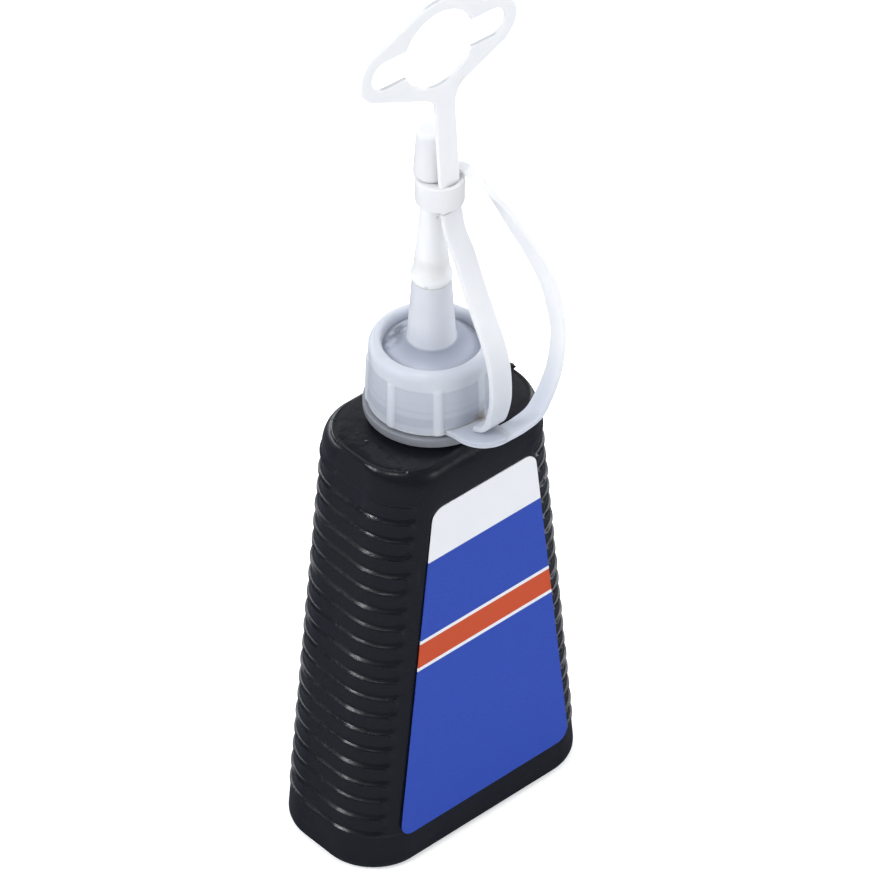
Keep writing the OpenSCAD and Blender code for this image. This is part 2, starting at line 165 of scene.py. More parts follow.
class Bench:
    """Modelling by Blender's own operators, from a primitive to a finished mesh."""

    @staticmethod
    def active(obj: Piece) -> None:
        """Selects one object alone.

        Args:
            obj: The object.
        """
        bpy.ops.object.select_all(action="DESELECT")
        obj.select_set(True)
        bpy.context.view_layer.objects.active = obj

    @staticmethod
    def close(obj: Piece, smooth_deg: float = 40.0, cap: bool = False) -> Piece:
        """Merges seams and poles, turns the faces outwards and shades by angle.

        Args:
            obj: The mesh object.
            smooth_deg: Edges sharper than this stay sharp.
            cap: Fills the open ends.

        Returns:
            The same object.
        """
        Bench.active(obj)
        bpy.ops.object.mode_set(mode="EDIT")
        bpy.ops.mesh.select_all(action="SELECT")
        bpy.ops.mesh.remove_doubles(threshold=2e-6)
        if cap:
            bpy.ops.mesh.select_all(action="DESELECT")
            bpy.ops.mesh.select_non_manifold()
            bpy.ops.mesh.fill_holes(sides=0)
            bpy.ops.mesh.select_all(action="SELECT")
        bpy.ops.mesh.normals_make_consistent(inside=False)
        bpy.ops.object.mode_set(mode="OBJECT")
        bpy.ops.object.shade_smooth_by_angle(angle=math.radians(smooth_deg))
        return obj

    @staticmethod
    def spun(name: str, profile: Sequence[Flat], steps: int = 96, smooth_deg: float = 40.0) -> Piece:
        """Spins a closed profile round the upright axis.

        Args:
            name: Name of the piece.
            profile: Closed outline as (radius, height).
            steps: Steps in a full turn.
            smooth_deg: Edges sharper than this stay sharp.

        Returns:
            The finished object.
        """
        bpy.ops.object.select_all(action="DESELECT")
        bpy.ops.mesh.primitive_circle_add(vertices=len(profile), radius=0.01)
        obj = bpy.context.object
        obj.name = obj.data.name = name
        for vertex, (r, z) in zip(obj.data.vertices, profile):
            vertex.co = metres((r, 0.0, z))
        bpy.ops.object.mode_set(mode="EDIT")
        bpy.ops.mesh.select_all(action="SELECT")
        bpy.ops.mesh.spin(steps=steps, angle=math.tau, center=(0, 0, 0), axis=(0, 0, 1))
        bpy.ops.object.mode_set(mode="OBJECT")
        return Bench.close(obj, smooth_deg)

    @staticmethod
    def wrapped(name: str, columns: int, rows: int, place: Callable[[int, int], Point],
                cap: bool = False, smooth_deg: float = 40.0) -> Piece:
        """Bends a grid into a closed skin.

        Args:
            name: Name of the piece.
            columns: Steps round the piece.
            rows: Steps along the piece.
            place: Gives the point of a column and a row.
            cap: Fills the two open ends.
            smooth_deg: Edges sharper than this stay sharp.

        Returns:
            The finished object.
        """
        bpy.ops.object.select_all(action="DESELECT")
        bpy.ops.mesh.primitive_grid_add(x_subdivisions=columns, y_subdivisions=rows, size=1.0)
        obj = bpy.context.object
        obj.name = obj.data.name = name
        for vertex in obj.data.vertices:
            u, v = round((vertex.co.x + 0.5) * columns), round((vertex.co.y + 0.5) * rows)
            vertex.co = metres(place(u % columns, v))
        return Bench.close(obj, smooth_deg, cap)

    @staticmethod
    def joined(name: str, parts: Sequence[Piece]) -> Piece:
        """Joins objects into the first one.

        Args:
            name: Name of the piece.
            parts: The objects.

        Returns:
            The first object, which now holds them all.
        """
        Bench.active(parts[0])
        for part in parts:
            part.select_set(True)
        bpy.ops.object.join()
        parts[0].name = parts[0].data.name = name
        return parts[0]

    @staticmethod
    def plate(name: str, outlines: Sequence[Sequence[Flat]], thickness: float, edge: float,
              stand: Callable[[float, float, float], Point]) -> Piece:
        """Makes a flat plate with holes and rounded edges, and stands it in place.

        Args:
            name: Name of the piece.
            outlines: The outer outline first, then the holes.
            thickness: Thickness of the plate.
            edge: Radius of its edges.
            stand: Turns a point of the flat plate into its place.

        Returns:
            The finished object.
        """
        bpy.ops.object.select_all(action="DESELECT")
        bpy.ops.curve.primitive_bezier_circle_add(radius=1.0)
        obj = bpy.context.object
        obj.name = name
        curve = obj.data
        curve.splines.clear()
        for outline in outlines:
            spline = curve.splines.new("POLY")
            spline.points.add(len(outline) - 1)
            for point, (x, y) in zip(spline.points, outline):
                point.co = (x, y, 0.0, 1.0)
            spline.use_cyclic_u = True
        curve.dimensions, curve.fill_mode = "2D", "BOTH"
        curve.extrude = thickness / 2 - edge
        curve.bevel_depth, curve.bevel_resolution, curve.offset = edge, 2, -edge
        bpy.ops.object.convert(target="MESH")
        obj = bpy.context.object
        obj.data.name = name
        for vertex in obj.data.vertices:
            vertex.co = metres(stand(*vertex.co))
        Bench.close(obj, 35.0)
        axis = (Vector(stand(0, 0, 1)) - Vector(stand(0, 0, 0))).normalized()
        for face in obj.data.polygons:
            face.use_smooth = abs(face.normal.dot(axis)) < 0.999
        return obj

    @staticmethod
    def coat(piece: Piece, material: bpy.types.Material) -> None:
        """Makes a material the piece's only one."""
        piece.data.materials.clear()
        piece.data.materials.append(material)


class NodeBench:
    """Builds shader nodes with few words."""

    def __init__(self, tree: bpy.types.NodeTree) -> None:
        """Works on one node tree."""
        self.tree = tree

    def add(self, kind: str, **settings: object) -> bpy.types.Node:
        """Adds a shader node and sets its properties.

        Args:
            kind: Kind of the node.
            settings: Its properties by name.

        Returns:
            The node.
        """
        node = self.tree.nodes.new("ShaderNode" + kind)
        for name, value in settings.items():
            setattr(node, name, value)
        return node

    def put(self, node: bpy.types.Node, **inputs: object) -> bpy.types.Node:
        """Sets or links inputs by name, with underscores for spaces, or by number after an i.

        Args:
            node: The node.
            inputs: A value to set or a socket to link for each input.

        Returns:
            The same node.
        """
        for name, value in inputs.items():
            numbered = name[0] == "i" and name[1:].isdigit()
            socket = node.inputs[int(name[1:]) if numbered else name.replace("_", " ")]
            if isinstance(value, Socket):
                self.tree.links.new(value, socket)
            else:
                socket.default_value = value
        return node

    def node(self, kind: str, **inputs: object) -> bpy.types.Node:
        """Adds a shader node and sets or links its inputs."""
        return self.put(self.add(kind), **inputs)

    def math(self, operation: str, a: object, b: object = 0.0, c: object = 0.0) -> Socket:
        """Adds a math node and gives its result.

        Args:
            operation: What it does.
            a: First value.
            b: Second value.
            c: Third value, where the operation takes three.

        Returns:
            The result.
        """
        node = self.put(self.add("Math", operation=operation), i0=a, i1=b)
        if operation in ("MULTIPLY_ADD", "WRAP"):
            self.put(node, i2=c)
        return node.outputs[0]

    def times(self, a: object, b: object) -> Socket:
        """Multiplies two values."""
        return self.math("MULTIPLY", a, b)

    def step(self, value: object, low: float, high: float, start: float = 0.0, end: float = 1.0) -> Socket:
        """Eases from start to end while value goes from low to high."""
        node = self.add("MapRange", interpolation_type="SMOOTHSTEP")
        return self.put(node, i0=value, i1=low, i2=high, i3=start, i4=end).outputs[0]

    def blend(self, share: object, a: object, b: object) -> Socket:
        """Mixes two colours."""
        return self.put(self.add("Mix", data_type="RGBA"), i0=share, i6=a, i7=b).outputs[2]

    def noise(self, place: object, scale: float, detail: float = 3.0, rough: float = 0.5) -> Socket:
        """Adds a noise pattern and gives its value."""
        return self.node("TexNoise", Vector=place, Scale=scale, Detail=detail, Roughness=rough).outputs[0]

    def split(self, vector: Socket) -> tuple[Socket, ...]:
        """Splits a vector into x, y and z."""
        return tuple(self.node("SeparateXYZ", Vector=vector).outputs)


def shader_group(name: str, values: dict[str, float],
                 masks: Sequence[str]) -> tuple[bpy.types.NodeTree, NodeBench, dict, bpy.types.Node]:
    """Starts a shader node group that works at a place and puts out plain values.

    Args:
        name: Name of the group.
        values: First value of each input beside Place. A centre is a vector.
        masks: Names of the outputs.

    Returns:
        The group, a bench on it, its inputs by name, and its output node.
    """
    group = bpy.data.node_groups.new(name, "ShaderNodeTree")
    group.interface.new_socket("Place", in_out="INPUT", socket_type="NodeSocketVector")
    for label, value in values.items():
        if label == "Centre":
            group.interface.new_socket(label, in_out="INPUT", socket_type="NodeSocketVector")
        else:
            socket = group.interface.new_socket(label, in_out="INPUT", socket_type="NodeSocketFloat")
            socket.default_value = value
    for label in masks:
        group.interface.new_socket(label, in_out="OUTPUT", socket_type="NodeSocketFloat")
    start, end = group.nodes.new("NodeGroupInput"), group.nodes.new("NodeGroupOutput")
    return group, NodeBench(group), {s.name: s for s in start.outputs}, end


class Effects:
    """The shader groups that several finishes share."""

    def __init__(self) -> None:
        """Builds each group once."""
        self.mottle = self._mottle()
        self.scuff = self._scuff()
        self.soot = self._soot()

    @staticmethod
    def _mottle() -> bpy.types.NodeTree:
        """Makes the cloudy unevenness of moulded plastic.

        Returns:
            The group.
        """
        group, b, given, end = shader_group(
            "moulding_mottle", {"Cloud size": 60.0, "Grain size": 900.0}, ("Cloud", "Grain"))
        cloud = b.node("TexNoise", Vector=given["Place"], Scale=given["Cloud size"], Detail=2.0)
        grain = b.node("TexNoise", Vector=given["Place"], Scale=given["Grain size"], Detail=4.0)
        b.put(end, Cloud=b.step(cloud.outputs[0], 0.35, 0.65), Grain=grain.outputs[0])
        return group

    @staticmethod
    def _scuff() -> bpy.types.NodeTree:
        """Makes fine rubbing marks, drawn out along one direction.

        Returns:
            The group.
        """
        group, b, given, end = shader_group("handling_scuffs", {"Size": 400.0, "Amount": 0.5}, ("Mark",))
        drawn = b.node("Mapping", Vector=given["Place"], Scale=(1.0, 1.0, 0.18), Rotation=(0.5, 0.3, 0.2))
        fine = b.node("TexNoise", Vector=drawn.outputs[0], Scale=given["Size"], Detail=6.0)
        patch = b.noise(given["Place"], 45.0, 2.0)
        mark = b.times(b.step(fine.outputs[0], 0.62, 0.72), b.step(patch, 0.5, 0.62))
        b.put(end, Mark=b.times(mark, given["Amount"]))
        return group

    @staticmethod
    def _soot() -> bpy.types.NodeTree:
        """Makes smudges and specks of graphite inside a ball about a place.

        Returns:
            The group.
        """
        group, b, given, end = shader_group(
            "graphite_soot", {"Centre": 0.0, "Reach": 0.004, "Amount": 1.0}, ("Mask",))
        away = b.put(b.add("VectorMath", operation="DISTANCE"), i0=given["Place"], i1=given["Centre"])
        near = b.math("SUBTRACT", 1.0, b.math("DIVIDE", away.outputs["Value"], given["Reach"]))
        smudge = b.step(b.noise(given["Place"], 420.0, 3.0, 0.55), 0.36, 0.6)
        b.put(end, Mask=b.times(b.times(b.step(near, 0.0, 0.7), smudge), given["Amount"]))
        return group


class Finish:
    """A procedural material with a Principled shader, on Object coordinates."""

    def __init__(self, name: str, effects: Effects, **sockets: object) -> None:
        """Starts the material.

        Args:
            name: Name of the material.
            effects: The shared shader groups.
            sockets: Constant values of the shader's sockets, with underscores for spaces.
        """
        self.material = bpy.data.materials.new(name)
        self.material.use_nodes = True
        self.effects = effects
        self.bench = NodeBench(self.material.node_tree)
        self.shader = self.bench.put(self.material.node_tree.nodes["Principled BSDF"], **sockets)
        self.place = self.bench.add("TexCoord").outputs["Object"]

    def group(self, tree: bpy.types.NodeTree, **inputs: object) -> tuple[Socket, ...]:
        """Places a shared group on this material's own place.

        Args:
            tree: The group.
            inputs: Its other inputs.

        Returns:
            What the group puts out.
        """
        node = self.bench.add("Group")
        node.node_tree = tree
        return tuple(self.bench.put(node, Place=self.place, **inputs).outputs)

    def bump(self, height: object, strength: float, distance: float, below: Socket | None = None) -> Socket:
        """Adds a bump, on top of another one if given.

        Args:
            height: Pattern of the bump.
            strength: How strongly it shows.
            distance: How high a full value stands.
            below: Normal of the bump beneath it.

        Returns:
            The normal.
        """
        node = self.bench.node("Bump", Height=height, Strength=strength, Distance=distance * MM)
        if below is not None:
            self.bench.put(node, Normal=below)
        return node.outputs[0]

    def gloss(self, cloud: Socket, rough: Flat, scuff: Socket, worn: float) -> None:
        """Makes the roughness follow the clouds and the scuffs.

        Args:
            cloud: Mask of the clouds.
            rough: Roughness outside and inside the clouds.
            scuff: Mask of the scuffs.
            worn: What a full scuff adds.
        """
        b = self.bench
        clean = b.step(cloud, 0.0, 1.0, *rough)
        b.put(self.shader, Roughness=b.math("ADD", clean, b.times(scuff, worn)))

    def soot(self, centre: Point, reach: float, amount: float = 1.0) -> Socket:
        """Gives a mask of graphite smudges about a place."""
        return self.group(self.effects.soot, Centre=metres(centre), Reach=reach * MM, Amount=amount)[0]


@dataclass(frozen=True)
class BlackShell:
    """Finish of the blow-moulded black bottle."""

    colour: Colour = (0.0075, 0.0085, 0.0125, 1.0)
    worn: Colour = (0.05, 0.052, 0.06, 1.0)
    rough: Flat = (0.2, 0.3)
    rib_end: Flat = (27.2, 16.9)
    wall_h: float = 93.2
    seam_half: float = 0.22
    nick: Flat = (0.3, 0.7)

    def make(self, effects: Effects) -> bpy.types.Material:
        """Builds the material.

        Args:
            effects: The shared shader groups.

        Returns:
            The material.
        """
        finish = Finish("black_shell", effects, Specular_IOR_Level=0.42)
        b = finish.bench
        cloud, grain = finish.group(effects.mottle, Cloud_size=55.0, Grain_size=1500.0)
        scuff, = finish.group(effects.scuff, Size=380.0, Amount=0.18)
        b.put(finish.shader, Base_Color=b.blend(scuff, self.colour, self.worn))
        finish.gloss(cloud, self.rough, scuff, 0.25)
        x, y, z = b.split(finish.place)
        seam = b.step(b.math("ABSOLUTE", y), 0.0, self.seam_half * MM, 1.0, 0.0)
        waves = finish.bump(b.noise(finish.place, 130.0, 3.0), 0.32, 0.6)
        dents = finish.bump(b.noise(finish.place, 700.0, 4.0, 0.65), 0.35, 0.15, waves)
        skin = finish.bump(grain, 0.15, 0.06, dents)
        marks = b.math("MAXIMUM", b.times(seam, 0.12), self.nicks(finish, x, z))
        b.put(finish.shader, Normal=finish.bump(marks, 0.5, 0.15, skin))
        return finish.material

    def nicks(self, finish: Finish, x: Socket, z: Socket) -> Socket:
        """Masks the small nicks along the line where the ribs end.

        Args:
            finish: The finish that the mask is for.
            x: Place across the bottle.
            z: Height.

        Returns:
            The mask.
        """
        b = finish.bench
        low, high = self.rib_end
        edge = b.math("MULTIPLY_ADD", z, (high - low) / self.wall_h, low * MM)
        away = b.math("ABSOLUTE", b.math("SUBTRACT", b.math("ABSOLUTE", x), edge))
        near, far = self.nick
        return b.times(b.step(away, near * MM, far * MM, 1.0, 0.0),
                       b.step(b.noise(finish.place, 420.0, 3.0), 0.56, 0.66))


@dataclass(frozen=True)
class MilkyPlastic:
    """Finish of a translucent, undyed moulding.

    Beside its clean colour and the shade of its clouds it may have a painted shade on
    faces that look up; a dark that it takes on below two heights, painted shade
    towards the bottom, and on the spout the graphite seen through it; a core between
    two radii and two heights, with painted shade in a recess; bands of painted shade,
    each from one height to another with its amount; and spots of soot, each a centre,
    a reach and an amount.
    """

    name: str
    colour: Colour
    shade: Colour
    roughness: float = 0.34
    glow: float = 0.4
    depth: float = 1.6
    painted_up_shade: Colour | None = None
    darker_below: Flat | None = None
    dark: Colour = (0.0, 0.0, 0.0, 1.0)
    core: Span | None = None
    painted_core_shade: Colour = (0.0, 0.0, 0.0, 1.0)
    bands: tuple[Triple, ...] = ()
    painted_band_shade: Colour = (0.0, 0.0, 0.0, 1.0)
    bar_turn: float = 0.0
    bar_edge: Flat = (3.6, 5.4)
    soot_spots: tuple[tuple[Point, float, float], ...] = ()
    soot_colour: Colour = (0.16, 0.155, 0.16, 1.0)

    def make(self, effects: Effects) -> bpy.types.Material:
        """Builds the material.

        Args:
            effects: The shared shader groups.

        Returns:
            The material.
        """
        finish = Finish(self.name, effects, Subsurface_Weight=self.glow, Subsurface_Scale=self.depth * MM,
                        Subsurface_Radius=(1.0, 1.05, 1.25), Specular_IOR_Level=0.4)
        b = finish.bench
        cloud, grain = finish.group(effects.mottle, Cloud_size=150.0, Grain_size=2500.0)
        colour = b.blend(b.times(cloud, 0.6), self.colour, self.shade)
        # Painted shade on faces that look up.
        if self.painted_up_shade:
            colour = b.blend(self.facing_up(b), colour, self.painted_up_shade)
        # Darker towards the bottom: painted shade on the straps and the nut; on the spout the graphite seen
        # through the plastic.
        if self.darker_below:
            low, high = self.darker_below
            height = b.split(finish.place)[2]
            colour = b.blend(b.step(height, low * MM, high * MM, 1.0, 0.0), colour, self.dark)
        # Painted shade in the core, the recess round the axis.
        if self.core:
            colour = b.blend(self.near_axis(finish), colour, self.painted_core_shade)
        # Painted shade on the panels between the grip bars.
        if self.bands:
            colour = b.blend(self.painted_panel_shade_mask(finish), colour, self.painted_band_shade)
        for spot in self.soot_spots:
            colour = b.blend(finish.soot(*spot), colour, self.soot_colour)
        b.put(finish.shader, Base_Color=colour)
        scuff, = finish.group(effects.scuff, Size=600.0, Amount=0.5)
        finish.gloss(cloud, (self.roughness - 0.04, self.roughness + 0.06), scuff, 0.15)
        waves = finish.bump(b.noise(finish.place, 260.0, 1.0), 0.25, 0.3)
        b.put(finish.shader, Normal=finish.bump(grain, 0.1, 0.05, waves))
        return finish.material

    @staticmethod
    def facing_up(b: NodeBench) -> Socket:
        """Masks slanted faces a little and level ones in full, for the shade painted on faces that look up.
        """
        up = b.split(b.add("TexCoord").outputs["Normal"])[2]
        return b.math("ADD", b.step(up, 0.4, 0.85, 0.0, 0.35), b.step(up, 0.93, 0.985, 0.0, 0.65))

    @staticmethod
    def between(b: NodeBench, height: Socket, low: float, high: float, soft: float,
                amount: float = 1.0) -> Socket:
        """Masks what lies between two heights, with soft edges.

        Args:
            b: Bench on the material's tree.
            height: The height.
            low: Lower edge.
            high: Upper edge.
            soft: Half the width of an edge.
            amount: Value of the full mask.

        Returns:
            The mask.
        """
        return b.times(b.step(height, (low - soft) * MM, (low + soft) * MM),
                       b.step(height, (high - soft) * MM, (high + soft) * MM, amount, 0.0))

    def near_axis(self, finish: Finish) -> Socket:
        """Masks the core of a round piece, where shade is painted in.

        Args:
            finish: The finish that the mask is for.

        Returns:
            The mask.
        """
        b = finish.bench
        inside, outside, low, high = self.core
        x, y, z = b.split(finish.place)
        radius = b.math("SQRT", b.math("ADD", b.math("POWER", x, 2.0), b.math("POWER", y, 2.0)))
        return b.times(b.step(radius, inside * MM, outside * MM, 1.0, 0.0),
                       self.between(b, z, low, high, 0.4))

    def painted_panel_shade_mask(self, finish: Finish) -> Socket:
        """Masks the shade painted on the thin panels between the grip bars: the thread's shadows seen through
        the wall, a shadow line under the panels' top and a paler shade over each whole panel.

        Args:
            finish: The finish that the mask is for.

        Returns:
            The mask.
        """
        b = finish.bench
        x, y, z = b.split(finish.place)
        turn = b.math("SUBTRACT", b.math("ARCTAN2", y, x), math.radians(self.bar_turn))
        away = b.math("ABSOLUTE", b.math("WRAP", turn, math.pi / 8, -math.pi / 8))
        near, far = self.bar_edge
        panel = b.step(away, math.radians(near), math.radians(far))
        wobble = b.math("MULTIPLY_ADD", b.noise(finish.place, 260.0, 3.0), 0.8 * MM, -0.4 * MM)
        height = b.math("ADD", z, wobble)
        total: object = 0.0
        for low, high, amount in self.bands:
            total = b.math("MAXIMUM", total, self.between(b, height, low, high, 0.45, amount))
        return b.times(total, panel)


@dataclass(frozen=True)
class LabelPrint:
    """Printed colour fields of the front label, by height above the bottle's base."""

    white: Colour = (0.81, 0.82, 0.85, 1.0)
    blue: Colour = (0.0275, 0.069, 0.405, 1.0)
    pale_blue: Colour = (0.0308, 0.07728, 0.4536, 1.0)
    orange: Colour = (0.575, 0.079, 0.026, 1.0)
    band: Flat = (52.3, 58.2)
    white_from: float = 78.4
    line: float = 0.85
    soft: float = 0.06

    def make(self, effects: Effects) -> bpy.types.Material:
        """Builds the material.

        Args:
            effects: The shared shader groups.

        Returns:
            The material.
        """
        finish = Finish("label_print", effects, Roughness=0.28, Specular_IOR_Level=0.22)
        b = finish.bench
        height = b.split(finish.place)[2]

        def above(edge: float) -> Socket:
            """Gives 1 above an edge, 0 below it."""
            return b.step(height, (edge - self.soft) * MM, (edge + self.soft) * MM)

        low, high = self.band
        ink = b.noise(finish.place, 3200.0, 2.0)
        tint = b.blend(b.step(ink, 0.3, 0.7), self.blue, self.pale_blue)
        lines = b.math("SUBTRACT", above(low - self.line), above(high + self.line))
        fields = b.blend(lines, tint, self.white)
        fields = b.blend(b.math("SUBTRACT", above(low), above(high)), fields, self.orange)
        fields = b.blend(above(self.white_from), fields, self.white)
        grain = finish.group(effects.mottle, Cloud_size=40.0, Grain_size=2200.0)[1]
        b.put(finish.shader, Base_Color=fields, Normal=finish.bump(grain, 0.08, 0.04))
        return finish.material


@dataclass(frozen=True)
class PowderGrey:
    """Finish of the loose graphite powder inside the bottle."""

    colour: Colour = (0.03, 0.03, 0.033, 1.0)
    glint: Colour = (0.2, 0.2, 0.22, 1.0)

    def make(self, effects: Effects) -> bpy.types.Material:
        """Builds the material.

        Args:
            effects: The shared shader groups.

        Returns:
            The material.
        """
        finish = Finish("graphite_powder", effects, Roughness=0.55)
        b = finish.bench
        grain = b.noise(finish.place, 4000.0, 3.0)
        b.put(finish.shader, Base_Color=b.blend(b.step(grain, 0.6, 0.7), self.colour, self.glint),
              Metallic=b.step(grain, 0.55, 0.75, 0.0, 0.6), Normal=finish.bump(grain, 0.6, 0.2))
        return finish.material


@dataclass(frozen=True)
class Thread:
    """The ridge of a screw thread, which grows and fades over an eighth of a turn."""

    name: str
    foot: float
    crest: float
    z: float
    turns: float = 2.0
    pitch: float = 3.0
    steps: int = 48
    foot_half: float = 0.85
    flank_half: float = 0.4
    crest_half: float = 0.2

    def place(self, u: int, v: int) -> Point:
        """Gives a point of the ridge's section, six points round.

        Args:
            u: Point of the section.
            v: Step along the ridge.

        Returns:
            The point.
        """
        t = v / self.steps
        grow = ease(t * 8) * ease((self.turns - t) * 8)
        tip = mix(self.foot, self.crest, 0.3 + 0.7 * grow)
        half = [(self.foot, self.foot_half), (mix(self.foot, tip, 0.85), self.flank_half),
                (tip, self.crest_half)]
        r, dz = half[u] if u < 3 else half[5 - u]
        return (*around(r, 360 * t), self.z + self.pitch * t + (dz if u > 2 else -dz))

    def build(self) -> Piece:
        """Builds the ridge."""
        rows = round(self.steps * self.turns)
        return Bench.wrapped(self.name, 6, rows, self.place, cap=True, smooth_deg=50.0)


@dataclass
class Bottle:
    """The black blow-moulded shell with its ribbed ends, neck and thread."""

    base_w: float = 65.5
    base_d: float = 33.0
    top_w: float = 44.7
    top_d: float = 31.2
    wall_h: float = 93.2
    wall: float = 1.0
    base_corner_r: float = 12.5
    top_corner_r: float = 11.2
    base_round: float = 2.4
    end_inset: float = 0.5
    inset_fade: float = 0.9
    shoulder_h: float = 6.6
    shoulder_in: Triple = (1.4, 2.7, 0.8)
    shoulder_lean: float = 80.0
    groove_count: int = 19
    groove_pitch: float = 4.39
    groove_depth: float = 0.66
    first_groove_z: float = 11.8
    groove_reach: Flat = (5.7, 8.9)
    groove_mouth: float = 1.7
    ridge_flank: float = 0.42
    foot_gap: float = 0.7
    nub: Point = (20.9, -0.3, 100.0)
    nub_half: Triple = (0.75, 1.0, 0.55)
    plateau_z: float = 100.3
    seat_z: float = 101.5
    neck_top: float = 114.7
    neck_inside_z: float = 98.2
    corner_steps: int = 26

    def size_at(self, z: float) -> Triple:
        """Gives the wall's size at a height.

        Args:
            z: Height.

        Returns:
            Half width, half depth and corner radius.
        """
        t = z / self.wall_h
        return (mix(self.base_w, self.top_w, t) / 2, mix(self.base_d, self.top_d, t) / 2,
                mix(self.base_corner_r, self.top_corner_r, t))

    def skin(self, inward_x: float, inward_y: float, lift: float, wall_rows: int) -> list[Ring]:
        """Lists the rings of one skin from the base to the shoulder's crease.

        Args:
            inward_x: How far the skin lies inside the outer one along X.
            inward_y: The same along Y.
            lift: How far its base and shoulder move.
            wall_rows: Rings between base and shoulder.

        Returns:
            Rings as half width, half depth, corner radius, height and grooved share.
        """
        def ring(size_z: float, drawn: Triple, z: float, grooved: float = 0.0) -> Ring:
            """Draws the wall's size at one height in, and lays it at another."""
            w, d, r = self.size_at(size_z)
            return (w - inward_x - drawn[0], d - inward_y - drawn[1], r - inward_y - drawn[2], z, grooved)

        w, d, _ = self.size_at(0)
        w, d = w - inward_x - self.base_round, d - inward_y - self.base_round
        rings = [(w * share, d * share, d * share * 0.7, lift, 0.0) for share in (0.02, 0.5)]
        for i in range(7):
            a = math.radians(90 * i / 6)
            inside, z = self.base_round * (1 - math.sin(a)), self.base_round * (1 - math.cos(a))
            rings.append(ring(z, (inside + self.end_inset, inside, inside), z + lift))
        foot = self.first_groove_z - self.groove_pitch / 2 - self.foot_gap
        for i in range(1, wall_rows):
            z = mix(self.base_round, self.wall_h, i / wall_rows)
            inset = self.end_inset * (1 - ease((z - foot) / self.inset_fade))
            rings.append(ring(z, (inset, 0.0, 0.0), z, 0.0 if lift else 1.0))
        lean = math.radians(self.shoulder_lean)
        in_w, in_d, in_r = self.shoulder_in
        for i in range(13):
            a = lean * i / 12
            t = (1 - math.cos(a)) / (1 - math.cos(lean))
            inset = self.end_inset if i else 0.0
            rings.append(ring(self.wall_h, (inset + (in_w - self.end_inset) * t, in_d * t, in_r * t),
                              self.wall_h + self.shoulder_h * math.sin(a) / math.sin(lean) - lift))
        return rings

    def rings(self) -> list[Ring]:
        """Lists every ring of the closed shell, outside first, then inside.

        Returns:
            Rings as half width, half depth, corner radius, height and grooved share.
        """
        out = self.skin(0.0, 0.0, 0.0, 400)
        w, d, r, z, _ = out[-1]
        for inward, corner, rise in ((0.12, 0.1, 0.16), (0.4, 0.3, 0.2), (0.75, 0.6, 0.08)):
            out.append((w - inward, d - inward, r - corner, z + rise, 0.0))
        for t in (0.12, 0.3, 0.7):
            out.append((mix(w, 12.6, t), mix(d, 12.4, t), mix(r, 12.3, t),
                        mix(z, self.plateau_z, t ** 0.6), 0.0))
        neck = [(12.5, self.plateau_z), (12.3, self.plateau_z + 0.15), (12.3, self.seat_z - 0.15),
                (12.15, self.seat_z), (10.2, self.seat_z), (10.2, self.neck_top - 0.3),
                (9.95, self.neck_top), (8.85, self.neck_top), (8.6, self.neck_top - 0.3),
                (8.6, self.neck_inside_z)]
        out += [(q, q, q, h, 0.0) for q, h in neck]
        return out + self.skin(self.wall + self.groove_depth, self.wall, self.wall, 12)[::-1]

    def groove_cut(self, z: float, from_end: float, reach: float) -> float:
        """Gives how deep a groove is at a height and a distance from the bottle's end.

        Args:
            z: Height.
            from_end: Distance in from the end's outermost line.
            reach: How far in the grooves run on this corner.

        Returns:
            Depth of the cut.
        """
        place = (z - self.first_groove_z) / self.groove_pitch
        nearest = min(self.groove_count - 1, max(0, round(place)))
        away = math.hypot((place - nearest) * self.groove_pitch,
                          max(0.0, from_end - reach + self.groove_mouth))
        from_ridge = max(0.0, self.groove_pitch / 2 - away)
        return self.groove_depth * (1 - math.exp(-(from_ridge / self.ridge_flank) ** 1.5))

    def flash_nub(self) -> Piece:
        """Builds the crumb of flash that the mould left on the shoulder's rim.

        Returns:
            The crumb.
        """
        bpy.ops.object.select_all(action="DESELECT")
        bpy.ops.mesh.primitive_ico_sphere_add(subdivisions=3, radius=1.0)
        nub = bpy.context.object
        for vertex in nub.data.vertices:
            x, y, z = vertex.co
            swell = 1 + 0.35 * math.sin(5 * x + 2) * math.cos(4 * y) + 0.2 * math.sin(7 * z + x)
            vertex.co = metres(tuple(middle + half * way * swell for middle, half, way
                                     in zip(self.nub, self.nub_half, (x, y, z))))
        return Bench.close(nub, 40.0)

    def build(self, effects: Effects) -> list[Piece]:
        """Builds the shell, its thread and the flash on its shoulder.

        Args:
            effects: The shared shader groups.

        Returns:
            The one piece.
        """
        rings = self.rings()

        def place(u: int, v: int) -> Point:
            """Gives the point of one column and ring.

            Args:
                u: Column.
                v: Ring.

            Returns:
                The point.
            """
            w, d, r, z, grooved = rings[v]
            side, a = quarter_turn(u, self.corner_steps)
            from_end = r * (1 - abs(math.cos(a)))
            cut = self.groove_cut(z, from_end, self.groove_reach[side % 2]) if grooved else 0.0
            return (*oblong(side, a, w, d, r, cut), z)

        columns = 4 * (self.corner_steps + 1)
        shell = Bench.wrapped("bottle_shell", columns, len(rings) - 1, place, cap=True, smooth_deg=35.0)
        thread = Thread("neck_thread", 10.0, 11.15, 105.7).build()
        shell = Bench.joined("bottle_shell", [shell, thread, self.flash_nub()])
        Bench.coat(shell, BlackShell().make(effects))
        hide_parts("bottle")
        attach(shell, Body.BOTTLE.value)
        return [shell]


